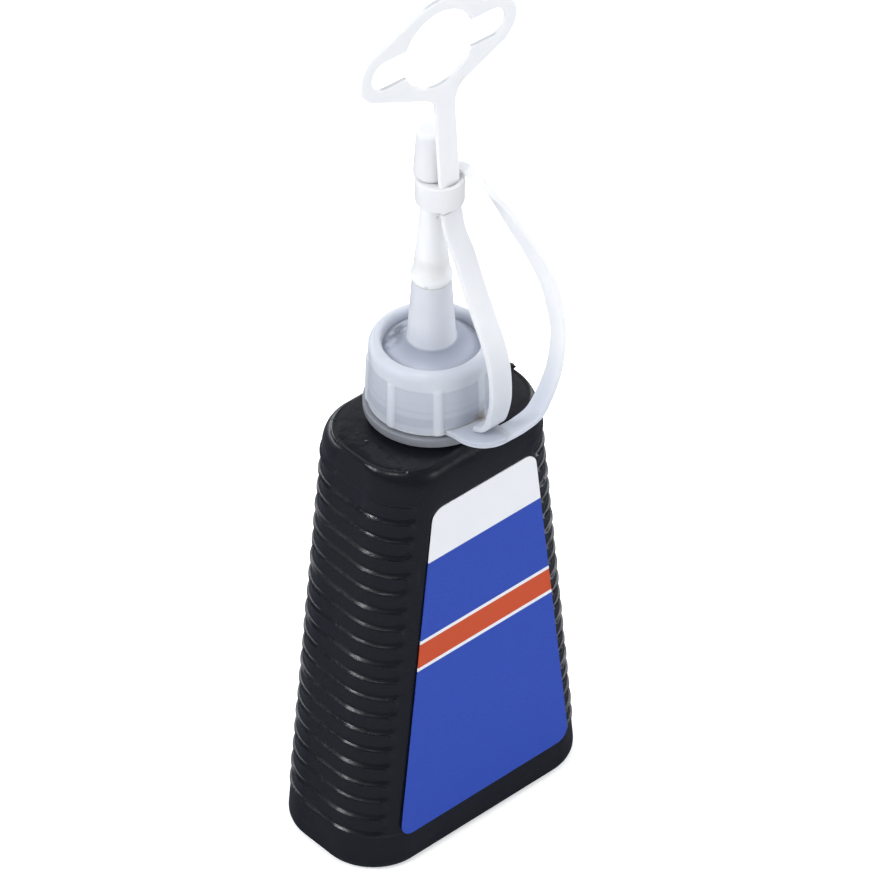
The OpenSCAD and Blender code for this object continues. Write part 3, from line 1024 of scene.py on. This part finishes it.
@dataclass
class Nozzle:
    """The collar, the spout's foot with its tube, and the slender tip."""

    collar_z: Flat = (101.5, 103.55)
    collar_r: Flat = (11.45, 13.8)
    plug_z: float = 108.7
    flange_z: Flat = (114.7, 116.35)
    shelf_z: float = 133.75
    spigot_top: float = 139.15
    channel_r: float = 2.5
    mouth_z: float = 168.0
    outlet_r: float = 0.8

    def collar(self, effects: Effects) -> Piece:
        """Builds the grey ring under the nut.

        Args:
            effects: The shared shader groups.

        Returns:
            The ring.
        """
        low, high = self.collar_z
        inside, outside = self.collar_r
        profile = arc(outside - 0.35, low + 0.35, 0.35, -90, 0, 4)
        profile += arc(outside - 0.4, high - 0.4, 0.4, 0, 90, 4) + [(inside, high), (inside, low)]
        ring = Bench.spun("collar_ring", profile, 128)
        Bench.coat(ring, MilkyPlastic("collar_grey", (0.23, 0.24, 0.265, 1.0), (0.18, 0.19, 0.215, 1.0),
                                      roughness=0.38, glow=0.3).make(effects))
        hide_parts("neck_collar")
        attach(ring, Body.BOTTLE.value)
        return ring

    def foot(self, effects: Effects) -> Piece:
        """Builds the spout's plug, flange, cone and tube.

        Args:
            effects: The shared shader groups.

        Returns:
            The spout.
        """
        seat, top = self.flange_z
        plug = [(7.32, self.plug_z), (8.3, self.plug_z), (8.52, self.plug_z + 0.9), (8.52, seat),
                (11.0, seat), (11.2, seat + 0.2), (11.2, top - 0.2), (11.0, top), (9.57, top)]
        cone = [(9.2, 116.75), (8.4, 117.35), (7.5, 117.85), (6.4, 118.35), (5.5, 118.75), (5.1, 119.1),
                (4.92, 119.6), (4.85, 120.2)]
        tube = [(mix(4.85, 3.95, t), mix(120.2, 133.7, t)) for t in (0.25, 0.5, 0.75, 1.0)]
        spigot = [(3.9, self.shelf_z), (3.1, self.shelf_z), (3.1, self.spigot_top),
                  (self.channel_r, self.spigot_top)]
        inside = [(self.channel_r, self.shelf_z), (3.7, 118.15), (7.32, 115.5)]
        spout = Bench.spun("spout_foot", plug + cone + tube + spigot + inside, 128)
        # The flange darkens below 118.1 to 119.4 and towards the tube: the graphite seen through the thin
        # plastic, and painted shade in the recess. The two wide soot spots darken the recess behind the tube;
        # the two small ones are specks.
        Bench.coat(spout, MilkyPlastic(
            "spout_milky", (0.67, 0.69, 0.74, 1.0), (0.62, 0.645, 0.72, 1.0), glow=0.3,
            darker_below=(118.1, 119.4), dark=(0.5, 0.53, 0.61, 1.0),
            core=(5.2, 9.9, 110.0, 119.3), painted_core_shade=(0.31, 0.34, 0.42, 1.0),
            soot_spots=(((-2.6, 6.5, 117.4), 3.4, 0.9), ((3.2, -3.3, 119.5), 0.5, 1.6),
                        ((-4.6, 0.3, 119.5), 0.5, 1.2), ((-5.0, 5.4, 117.2), 3.6, 0.7)),
            soot_colour=(0.15, 0.16, 0.19, 1.0)).make(effects))
        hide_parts("spout_insert")
        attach(spout, Body.SPOUT.value)
        return spout

    def tip(self, effects: Effects) -> Piece:
        """Builds the slender tip with the bead at its foot.

        Args:
            effects: The shared shader groups.

        Returns:
            The tip.
        """
        bead = [(3.15, 133.8), (3.85, 133.8), (4.05, 134.15), (4.2, 134.7), (4.22, 135.1), (4.1, 135.45),
                (3.9, 135.8)]
        taper = [(3.78, 136.2), (3.5, 138.2), (3.24, 140.6), (2.97, 143.5), (2.66, 147.1), (2.42, 150.2),
                 (2.18, 154.0), (2.0, 158.0), (1.88, 162.0), (1.78, 166.0)]
        mouth = arc(1.45, self.mouth_z - 0.3, 0.3, 0, 90, 4)
        channel = [(self.outlet_r, self.mouth_z), (self.outlet_r, 161.2), (1.9, 139.5), (3.15, 139.5)]
        tip = Bench.spun("nozzle_tip_cone", bead + taper + mouth + channel, 96, smooth_deg=50.0)
        Bench.coat(tip, MilkyPlastic(
            "tip_milky", (0.865, 0.875, 0.89, 1.0), (0.84, 0.85, 0.87, 1.0), glow=0.35,
            soot_spots=(((-0.6, -2.5, 150.5), 0.5, 0.45), ((-0.6, -2.2, 155.8), 0.5, 0.5),
                        ((-3.6, -2.2, 134.6), 0.7, 0.5))).make(effects))
        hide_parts("nozzle_tip")
        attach(tip, Body.SPOUT.value)
        return tip

    def build(self, effects: Effects) -> list[Piece]:
        """Builds the three pieces."""
        return [self.collar(effects), self.foot(effects), self.tip(effects)]


@dataclass
class Nut:
    """The screw nut with its grip bars and the lug that carries both straps."""

    z: float = 103.9
    height: float = 14.9
    radius: float = 12.95
    lip_r: float = 2.15
    ceiling_z: float = 116.38
    bars: int = 8
    bar_turn: float = 9.0
    bar_half: float = 0.8
    bar_soft: float = 0.45
    bar_out: float = 0.42
    lug_thick: float = 1.25
    lug_gap: float = 0.03
    columns: int = 360
    # Heights and amounts of the shade painted on the panels between the grip bars: a paler band over each
    # whole panel, the thread's shadows seen through the wall and the shadow line under the panels' top.
    bands: tuple[Triple, ...] = ((104.4, 114.4, 0.38), (105.6, 108.2, 0.68), (109.0, 110.1, 0.52),
                                (111.0, 111.8, 0.48), (114.1, 114.6, 0.65))

    def profile(self) -> list[Triple]:
        """Lists the points of the nut's section.

        Returns:
            Points as radius, height and share of the grip pattern.
        """
        low, top = self.z, self.z + self.height
        outer = [(12.75, low, 0.0), (self.radius, low + 0.12, 0.6), (self.radius, low + 0.4, 1.0)]
        outer += [(mix(self.radius, 12.68, i / 12), mix(low + 0.8, low + 10.4, i / 12), 1.0)
                  for i in range(13)]
        outer += [(12.67, low + 10.8, 1.0), (12.66, low + 11.1, 0.75), (12.65, low + 11.4, 0.25),
                  (12.63, low + 11.7, 0.0), (12.6, low + 12.4, 0.0)]
        rest = arc(10.45, top - self.lip_r, self.lip_r, 8, 72, 9)
        rest += [(10.8, top - 0.01), (10.5, top - 0.1), (10.25, top - 0.3), (10.05, top - 0.65),
                 (9.93, top - 1.1), (9.88, top - 1.6), (9.87, self.ceiling_z + 0.04), (9.95, self.ceiling_z),
                 (11.3, self.ceiling_z), (11.5, self.ceiling_z + 0.12), (11.5, low + 0.3), (11.75, low)]
        return outer + [(r, z, 0.0) for r, z in rest]

    def grip(self, angle: float) -> float:
        """Gives how far the skirt stands out.

        Args:
            angle: Angle round the axis in degrees.

        Returns:
            How far it stands out there.
        """
        pitch = 360 / self.bars
        turn = (angle - self.bar_turn + pitch / 2) % pitch - pitch / 2
        away = abs(turn) * math.radians(1) * self.radius
        return self.bar_out * ease((self.bar_half + self.bar_soft - away) / (2 * self.bar_soft))

    def skirt(self) -> Piece:
        """Builds the nut's ring.

        Returns:
            The ring.
        """
        section = self.profile()

        def place(u: int, v: int) -> Point:
            """Gives a point of the section at one angle.

            Args:
                u: Step round the axis.
                v: Point of the section.

            Returns:
                The point.
            """
            r, z, share = section[v % len(section)]
            angle = u * 360 / self.columns
            return (*around(r + share * self.grip(angle), angle), z)

        return Bench.wrapped("nut_skirt", self.columns, len(section), place, smooth_deg=45.0)

    def lug(self) -> Piece:
        """Builds the lug as a flat tongue in front of the skirt.

        Returns:
            The lug.
        """
        outline = (arc(1.0, -14.2, 6.9, 180, 270, 14) + [(2.65, -21.1), (2.65, -16.9), (2.65, -12.35)]
                   + arc(0.0, 0.0, 12.4, 282, 238, 10) + [(-5.9, -13.4)])

        def stand(x: float, y: float, h: float) -> Point:
            """Lays the flat lug at the skirt's foot."""
            return (x, y, h + self.z + self.lug_gap + self.lug_thick / 2)

        return Bench.plate("nut_lug", [outline], self.lug_thick, 0.22, stand)

    def build(self, effects: Effects) -> list[Piece]:
        """Builds the nut as one piece.

        Args:
            effects: The shared shader groups.

        Returns:
            The one piece.
        """
        thread = Thread("nut_thread", 11.7, 10.6, 107.2).build()
        nut = Bench.joined("nut_body", [self.skirt(), self.lug(), thread])
        # Painted shade on the nut: darker towards its foot, in the opening under the rim, and in bands on the
        # panels between the grip bars.
        Bench.coat(nut, MilkyPlastic(
            "nut_milky", (0.595, 0.62, 0.675, 1.0), (0.555, 0.58, 0.64, 1.0),
            roughness=0.36, glow=0.45, depth=2.2,
            darker_below=(107.0, 116.0), dark=(0.56, 0.585, 0.64, 1.0),
            core=(9.9, 10.6, 115.0, 116.9), painted_core_shade=(0.53, 0.56, 0.63, 1.0),
            bands=self.bands, painted_band_shade=(0.34, 0.37, 0.45, 1.0), bar_turn=self.bar_turn,
            soot_spots=(((1.4, -12.8, 105.8), 2.4, 1.0), ((-1.0, -14.5, 105.3), 3.2, 0.08),
                        ((2.6, -12.9, 108.0), 2.2, 0.35)),
            soot_colour=(0.36, 0.33, 0.33, 1.0)).make(effects))
        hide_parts("union_nut")
        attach(nut, Body.NUT.value)
        return [nut]


@dataclass
class Tether:
    """The closure, the hang tab with its ring, and the two straps.

    A route's shares are along its depth, its height or its reach, so that they
    follow the sizes. The swing also has the turn of the strap's width in degrees.
    """

    thickness: float = 1.25
    edge_r: float = 0.3
    hanger_at: Point = (-2.35, -4.45, 193.7)
    hanger_turn: float = -2.5
    hanger_thick: float = 1.1
    stem_w: float = 4.75
    stem_x: Flat = (3.2, 1.6)
    stem_foot_z: float = 152.9
    ring_at: Flat = (0.85, -1.45)
    ring_z: Flat = (153.9, 159.6)
    ring_r: Flat = (4.1, 4.9)
    ring_filling: float = 1.5
    closure_z: float = 159.9
    closure_r: float = 3.6
    closure_turn: float = -26.0
    pin_r: float = 0.75
    inner_z: Flat = (105.15, 152.85)
    inner_bow: float = 15.6
    inner_shares: tuple[Flat, ...] = (
        (0.1, 0.9), (0.265, 0.822), (0.475, 0.688), (0.675, 0.57), (0.845, 0.472), (0.965, 0.36), (1, 0.21),
        (0.93, 0.096), (0.84, 0.043))
    outer_z: float = 104.525
    outer_reach: Flat = (18.0, -19.4)
    outer_shares: tuple[Span, ...] = (
        (0.279, 0.17, 1, -138), (0.284, 0.268, 0.999, -146), (0.35, 0.371, 0.965, -118),
        (0.489, 0.486, 0.881, -95), (0.671, 0.582, 0.75, -82), (0.848, 0.674, 0.618, -77),
        (0.972, 0.784, 0.481, -81), (1, 0.881, 0.338, -91), (0.967, 0.928, 0.258, -98),
        (0.844, 0.974, 0.144, -100), (0.589, 1, 0.033, -92), (0.344, 0.995, 0.004, -90))

    def strap(self, name: str, route: Sequence[Sequence[float]], widths: Callable[[float], float],
              first: Point, last: Point) -> Piece:
        """Sweeps a flat strap along a route.

        Args:
            name: Name of the piece.
            route: Points as x, y, z and the turn of the width in degrees.
            widths: Width at a share of the way.
            first: Direction of the route at its start.
            last: Direction of the route at its end.

        Returns:
            The strap.
        """
        points = smooth_curve(route, 10)
        end = len(points) - 1
        frames = []
        for i, point in enumerate(points):
            if i in (0, end):
                along = Vector(last if i else first)
            else:
                along = (Vector(points[i + 1][:3]) - Vector(points[i - 1][:3])).normalized()
            raw = Vector((*around(1.0, point[3]), 0.0))
            side = (raw - along * raw.dot(along)).normalized()
            frames.append((Vector(point[:3]), side, along.cross(side)))

        def place(u: int, v: int) -> Point:
            """Gives a point of the strap's rounded section.

            Args:
                u: Point of the section.
                v: Step along the route.

            Returns:
                The point.
            """
            at, side, up = frames[v]
            p, q = oblong(*quarter_turn(u, 4), widths(v / end) / 2, self.thickness / 2, self.edge_r)
            return tuple(at + side * p + up * q)

        return Bench.wrapped(name, 20, end, place, cap=True, smooth_deg=40.0)

    def stand(self, x: float, y: float, depth: float) -> Point:
        """Stands a point of the flat hang tab in its plane.

        Args:
            x: Place across the tab.
            y: Height over the tab's middle.
            depth: Place through its thickness.

        Returns:
            The point.
        """
        turn = math.radians(self.hanger_turn)
        at_x, at_y, at_z = self.hanger_at
        return (at_x + x * math.cos(turn) + depth * math.sin(turn),
                at_y + x * math.sin(turn) - depth * math.cos(turn), at_z + y)

    def tab_outline(self) -> list[Flat]:
        """Lists the hang tab's outline with its stem, anticlockwise from its right end.

        Returns:
            The outline.
        """
        end_x, end_r, hub_r = 13.35, 5.9, 11.3
        lean = math.degrees(math.acos((hub_r - end_r) / end_x))
        foot_x, neck_x = self.stem_x
        left, right = neck_x - self.stem_w / 2, neck_x + self.stem_w / 2
        foot = self.stem_foot_z - self.hanger_at[2]
        outline = arc(end_x, 0, end_r, -lean, lean, 20) + arc(0, 0, hub_r, lean, 180 - lean, 24)
        outline += arc(-end_x, 0, end_r, 180 - lean, 180 + lean, 20)
        outline += arc(0, 0, hub_r, 180 + lean, 253, 6)
        outline += [(left - 1.7, -11.55), (left - 0.65, -12.3), (left - 0.12, -13.4), (left, -15.0),
                    (foot_x - self.stem_w / 2, foot), (foot_x + self.stem_w / 2, foot),
                    (right, -14.6), (right + 0.25, -12.9), (right + 1.0, -11.3), (right + 2.0, -10.1)]
        return outline + arc(0, 0, hub_r, 303, 360 - lean, 4)

    def hanger(self) -> Piece:
        """Builds the hang tab with its stem and its slot.

        Returns:
            The hang tab.
        """
        half, slot_r, hole_r = 13.3, 3.2, 8.6
        cross = math.degrees(math.asin(slot_r / hole_r))
        slot = (arc(half, 0, slot_r, -90, 90, 16) + arc(0, 0, hole_r, cross, 180 - cross, 28)
                + arc(-half, 0, slot_r, 90, 270, 16) + arc(0, 0, hole_r, 180 + cross, 360 - cross, 28))
        return Bench.plate("hang_tab", [self.tab_outline(), slot], self.hanger_thick, 0.25, self.stand)

    def ring(self) -> Piece:
        """Builds the keeper ring about the nozzle and the stem.

        Returns:
            The ring.
        """
        low, high = self.ring_z
        inside, outside = self.ring_r
        edge = 0.25
        profile = arc(outside - edge, low + edge, edge, -90, 0, 3)
        profile += arc(outside - edge, high - edge, edge, 0, 90, 3) + [(inside, high), (inside, low)]
        columns = 144

        def place(u: int, v: int) -> Point:
            """Gives a point of the section, which is thicker on the side away from the stem.

            Args:
                u: Step round the ring.
                v: Point of the section.

            Returns:
                The point.
            """
            r, z = profile[v % len(profile)]
            angle = u * 360 / columns
            if r == inside:
                r -= self.ring_filling * ease((angle - 150) / 25) * ease((252 - angle) / 14)
            x, y = around(r, angle)
            return (self.ring_at[0] + x, self.ring_at[1] + y, z)

        return Bench.wrapped("keeper_band", columns, len(profile), place, smooth_deg=40.0)

    def tab_z(self) -> float:
        """Gives the middle height of the closure's tab, where the long strap joins."""
        return self.closure_z + 0.675

    def closure(self) -> Piece:
        """Builds the closure cap with its tab.

        Returns:
            The closure.
        """
        z, r = self.closure_z, self.closure_r
        wall = [(2.5, z), (3.3, z), (r, z + 0.3), (r, z + 1.2), (3.5, z + 2.6), (3.3, z + 5.6),
                (3.1, z + 8.4)]
        crown = arc(1.75, z + 9.7, 1.3, 8, 90, 8) + [(0.0, z + 11.0)]
        pin = [(0.0, z + 4.4), (0.6, z + 4.4), (self.pin_r, z + 4.6), (self.pin_r, z + 8.4), (1.9, z + 8.4)]
        cap = Bench.spun("closure_shell", wall + crown + pin, 72, smooth_deg=50.0)
        c, s = around(1.0, self.closure_turn)

        def stand(x: float, y: float, h: float) -> Point:
            """Lays the tab beside the cap's mouth."""
            return (x * c - y * s, x * s + y * c, self.tab_z() + h)

        outline = [(3.1, -1.2), (4.6, -1.2), (4.6, 1.2), (3.1, 1.2)]
        tab = Bench.plate("closure_tab", [outline], self.thickness, 0.15, stand)
        return Bench.joined("closure_shell", [cap, tab])

    def inner_strap(self) -> Piece:
        """Builds the short strap, from the stem's foot down to the lug.

        Returns:
            The strap.
        """
        low, high = self.inner_z
        top_y = self.hanger_at[1] + self.stem_x[0] * math.tan(math.radians(self.hanger_turn))
        lean = 0.85
        route = [(lean, top_y, high, 0.0)]
        route += [(lean * s * s, top_y - self.inner_bow * b, mix(low, high, s), 0.0)
                  for b, s in self.inner_shares]
        route += [(0.0, -15.2, low + 0.655, 0.0)]
        return self.strap("hanger_band", route, lambda t: mix(5.0, 5.3, ease(t)), (0, 0, -1), (0, 1, 0))

    def outer_strap(self) -> Piece:
        """Builds the long strap, from the closure's tab round to the lug.

        Returns:
            The strap.
        """
        c, s = around(1.0, self.closure_turn)
        reach_x, reach_y = self.outer_reach
        route = [(4.68 * c, 4.68 * s, self.tab_z(), self.closure_turn - 90)]
        route += [(reach_x * a, reach_y * b, mix(self.outer_z, self.tab_z(), h), float(turn))
                  for a, b, h, turn in self.outer_shares]
        route += [(1.05, -19.05, self.outer_z, -90.0)]
        narrow = 0.154
        return self.strap("tether_band", route, lambda t: mix(2.4, 4.1, ease((t - narrow) / narrow)),
                          (c, s, 0), (-1, 0, 0))

    def build(self, effects: Effects) -> list[Piece]:
        """Builds all five pieces.

        Args:
            effects: The shared shader groups.

        Returns:
            The pieces.
        """
        # The tab, the ring, the cap and both straps are the same white plastic; their colours differ to paint
        # in the light each piece gets, the tab and the long strap lighter, the ring, the cap and the short
        # strap darker. Both straps have painted shade towards the bottom, and the tab and the long strap
        # painted shade on faces that look up.
        tab_finish = MilkyPlastic("tab_milky", (0.87, 0.875, 0.885, 1.0), (0.85, 0.86, 0.875, 1.0), glow=0.3,
                                  depth=0.8, painted_up_shade=(0.6, 0.61, 0.63, 1.0))
        ring_finish = MilkyPlastic("ring_milky", (0.79, 0.795, 0.81, 1.0), (0.77, 0.78, 0.795, 1.0))
        cap_finish = MilkyPlastic("cap_milky", (0.785, 0.79, 0.81, 1.0), (0.755, 0.765, 0.79, 1.0))
        strap_finish = MilkyPlastic("strap_milky", (0.785, 0.79, 0.805, 1.0), (0.755, 0.765, 0.785, 1.0),
                                    darker_below=(103.5, 134.0), dark=(0.55, 0.58, 0.63, 1.0),
                                    soot_spots=(((0.5, -16.5, 104.6), 3.0, 0.4),))
        tether_finish = MilkyPlastic("tether_milky", (0.88, 0.885, 0.895, 1.0), (0.86, 0.865, 0.88, 1.0),
                                     darker_below=(103.5, 122.0), dark=(0.6, 0.63, 0.7, 1.0),
                                     painted_up_shade=(0.76, 0.77, 0.79, 1.0))
        inner, outer = self.inner_strap(), self.outer_strap()
        pieces = []
        for piece, node, body, finish in (
                (self.hanger(), "hanger", Body.NUT, tab_finish),
                (self.ring(), "keeper_ring", Body.NUT, ring_finish),
                (self.closure(), "closure_cap", Body.CLOSURE, cap_finish),
                (inner, "hanger_strap", Body.NUT, strap_finish)):
            Bench.coat(piece, finish.make(effects))
            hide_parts(node)
            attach(piece, body.value)
            pieces.append(piece)
        Bench.coat(outer, tether_finish.make(effects))
        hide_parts("tether_strap")
        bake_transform(outer)
        return pieces + [outer]


class Solids:
    """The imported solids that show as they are, in a finish of their own."""

    def build(self, effects: Effects) -> list[Piece]:
        """Dresses the label and the powder.

        Args:
            effects: The shared shader groups.

        Returns:
            The two pieces.
        """
        label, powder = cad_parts["front_label"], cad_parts["graphite_powder"]
        Bench.coat(label, LabelPrint().make(effects))
        Bench.coat(powder, PowderGrey().make(effects))
        return [label, powder]


@dataclass(frozen=True)
class Lamp:
    """A square soft lamp that faces the bottle, by its place, side and power.

    It lights the surfaces only where it fills, and they mirror it only where it shines.
    """

    name: str
    place: Point
    size: float
    watts: float
    fills: bool = True
    shines: bool = True
    tint: Triple = (0.96, 0.98, 1.0)
    aim: Point = (0.0, 0.0, 0.1)

    def hang(self) -> None:
        """Adds the lamp."""
        data = bpy.data.lights.new(self.name, "AREA")
        data.shape, data.size, data.energy, data.color = "SQUARE", self.size, self.watts, self.tint
        obj = bpy.data.objects.new(self.name, data)
        obj.location = self.place
        obj.rotation_euler = (Vector(self.aim) - Vector(self.place)).to_track_quat("-Z", "Y").to_euler()
        obj.visible_diffuse, obj.visible_glossy = self.fills, self.shines
        bpy.context.scene.collection.objects.link(obj)


@dataclass
class Studio:
    """The camera, the lamps and the pale surroundings.

    A band goes by the height of a direction, as a sine: where it starts, is full,
    begins to fade and is gone. A side goes by how far a direction points beyond the
    bottle, as a cosine: where the mask starts and is full.
    """

    distance: float = 1.4008
    azimuth: float = 41.96
    elevation: float = 40.08
    lens: float = 289.66
    target: Point = (0.0, 0.0, 0.09337)
    shift_x: float = 0.0039
    floor_size: float = 40.0
    sky_light: float = 0.6
    sky_mirrored: float = 0.1
    wall_band: Span = (0.35, 0.5, 0.58, 0.76)
    wall_side: Flat = (0.3, 0.75)
    wall_light: float = 1.1
    horizon_band: Span = (-0.22, -0.06, 0.04, 0.2)
    horizon_side: Flat = (-0.12, 0.25)
    horizon_light: float = 8.0
    lamps: tuple[Lamp, ...] = (
        Lamp("key_lamp", (-1.3, 0.1, 1.25), 0.8, 15.0, shines=False),
        Lamp("fill_lamp", (0.5, -1.5, 0.8), 1.0, 5.5, shines=False),
        Lamp("streak_lamp", (-1.32, 0.48, 1.05), 0.3, 7.0, fills=False),
        Lamp("glint_lamp", (-0.6, -0.08, 1.58), 0.34, 8.0, fills=False),
        Lamp("right_lamp", (1.4, -0.3, 0.7), 0.6, 7.5, shines=False),
        Lamp("back_lamp", (0.4, 1.5, 0.8), 0.8, 4.5, shines=False),
        Lamp("front_lamp", (0.6, -1.5, 0.8), 0.3, 2.0, fills=False),
        Lamp("top_lamp", (0.1, 0.3, 1.6), 0.8, 4.5, shines=False))

    def camera(self) -> None:
        """Places the camera at the photograph's viewing angle."""
        a, e = math.radians(self.azimuth), math.radians(self.elevation)
        back = Vector((-math.sin(a) * math.cos(e), -math.cos(a) * math.cos(e), math.sin(e)))
        data = bpy.data.cameras.new("studio_camera")
        data.lens, data.sensor_width, data.sensor_fit = self.lens, 36.0, "HORIZONTAL"
        data.shift_x = self.shift_x
        data.clip_start, data.clip_end = 0.1, 20.0
        obj = bpy.data.objects.new("studio_camera", data)
        obj.location = Vector(self.target) + back * self.distance
        obj.rotation_euler = (-back).to_track_quat("-Z", "Y").to_euler()
        bpy.context.scene.collection.objects.link(obj)
        bpy.context.scene.camera = obj

    def beyond(self, bench: NodeBench, way: Sequence[Socket], side: Flat) -> Socket:
        """Masks the side of the studio that lies beyond the bottle.

        Args:
            bench: Bench on the shader's tree.
            way: The incoming direction as x, y and z.
            side: Where the mask starts and is full.

        Returns:
            The mask.
        """
        a = math.radians(self.azimuth)
        across = bench.times(way[0], -math.sin(a))
        return bench.step(bench.math("MULTIPLY_ADD", way[1], -math.cos(a), across), *side)

    @staticmethod
    def band(bench: NodeBench, up: Socket, edges: Span, light: float) -> Socket:
        """Lights a band of heights."""
        start, full, fading, gone = edges
        return bench.times(bench.step(up, start, full), bench.step(up, fading, gone, light, 0.0))

    def sky(self) -> None:
        """Lights the studio from all round and shows plain white to the camera.

        Surfaces mirror a bright wall and a bright horizon beyond the bottle, and
        little on the camera's side.
        """
        world = bpy.data.worlds.new("studio_world")
        world.use_nodes = True
        bpy.context.scene.world = world
        bench = NodeBench(world.node_tree)
        rays = bench.add("LightPath").outputs
        way = bench.split(bench.add("NewGeometry").outputs["Incoming"])
        up = bench.times(way[2], -1.0)
        wall = self.band(bench, up, self.wall_band, self.wall_light)
        horizon = self.band(bench, up, self.horizon_band, self.horizon_light)
        low = bench.math("MULTIPLY_ADD", horizon, self.beyond(bench, way, self.horizon_side),
                         self.sky_mirrored)
        shine = bench.math("MULTIPLY_ADD", wall, self.beyond(bench, way, self.wall_side), low)
        mirror = rays["Is Glossy Ray"]
        level = bench.math("MULTIPLY_ADD", shine, mirror, bench.math("SUBTRACT", 1.0, mirror))
        soft = bench.node("Background", Color=(0.97, 0.98, 1.0, 1.0),
                          Strength=bench.times(level, self.sky_light))
        white = bench.node("Background", Color=(1.0, 1.0, 1.0, 1.0), Strength=1.0)
        blend = bench.node("MixShader", i0=rays["Is Camera Ray"], i1=soft.outputs[0], i2=white.outputs[0])
        bench.put(world.node_tree.nodes["World Output"], Surface=blend.outputs[0])

    def floor(self) -> None:
        """Lays the pale floor, which shows white and keeps the object's shadow.

        Surfaces mirror it dark on the camera's side and pale towards the far horizon.
        """
        bpy.ops.object.select_all(action="DESELECT")
        bpy.ops.mesh.primitive_plane_add(size=self.floor_size)
        floor = bpy.context.object
        floor.name = "studio_floor"
        material = bpy.data.materials.new("studio_floor")
        material.use_nodes = True
        nodes = material.node_tree.nodes
        bench = NodeBench(material.node_tree)
        matt = bench.put(nodes["Principled BSDF"], Base_Color=(0.9, 0.9, 0.91, 1.0), Roughness=0.9,
                         Specular_IOR_Level=0.1).outputs[0]
        rays = bench.add("LightPath").outputs
        glow = bench.node("Emission", Color=(1.0, 1.0, 1.0, 1.0), Strength=0.45)
        both = bench.node("AddShader", i0=matt, i1=glow.outputs[0])
        seen = bench.node("MixShader", i0=rays["Is Camera Ray"], i1=matt, i2=both.outputs[0])
        way = bench.split(bench.add("NewGeometry").outputs["Incoming"])
        far = bench.times(self.beyond(bench, way, self.horizon_side), bench.step(way[2], 0.1, 0.26, 1.0, 0.0))
        near = bench.blend(self.beyond(bench, way, (-0.06, 0.1)), (0.2, 0.21, 0.24, 1.0),
                           (0.11, 0.115, 0.135, 1.0))
        dim = bench.node("BsdfDiffuse", Color=bench.blend(far, near, (0.85, 0.86, 0.9, 1.0)))
        blend = bench.node("MixShader", i0=rays["Is Glossy Ray"], i1=seen.outputs[0], i2=dim.outputs[0])
        bench.put(nodes["Material Output"], Surface=blend.outputs[0])
        Bench.coat(floor, material)

    def build(self) -> None:
        """Sets up the whole studio."""
        self.sky()
        self.floor()
        for lamp in self.lamps:
            lamp.hang()
        self.camera()
        bpy.context.scene.view_settings.view_transform = "Standard"


def main() -> None:
    """Builds and reports every piece in order, and sets up the studio."""
    logging.basicConfig(level=logging.INFO, format="%(name)s: %(message)s")
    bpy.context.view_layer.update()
    effects = Effects()
    for assembly in (Bottle(), Nozzle(), Nut(), Tether(), Solids()):
        for piece in assembly.build(effects):
            LOG.info("%s: %d faces", piece.name, len(piece.data.polygons))
    Studio().build()


if __name__ == "__main__":
    main()
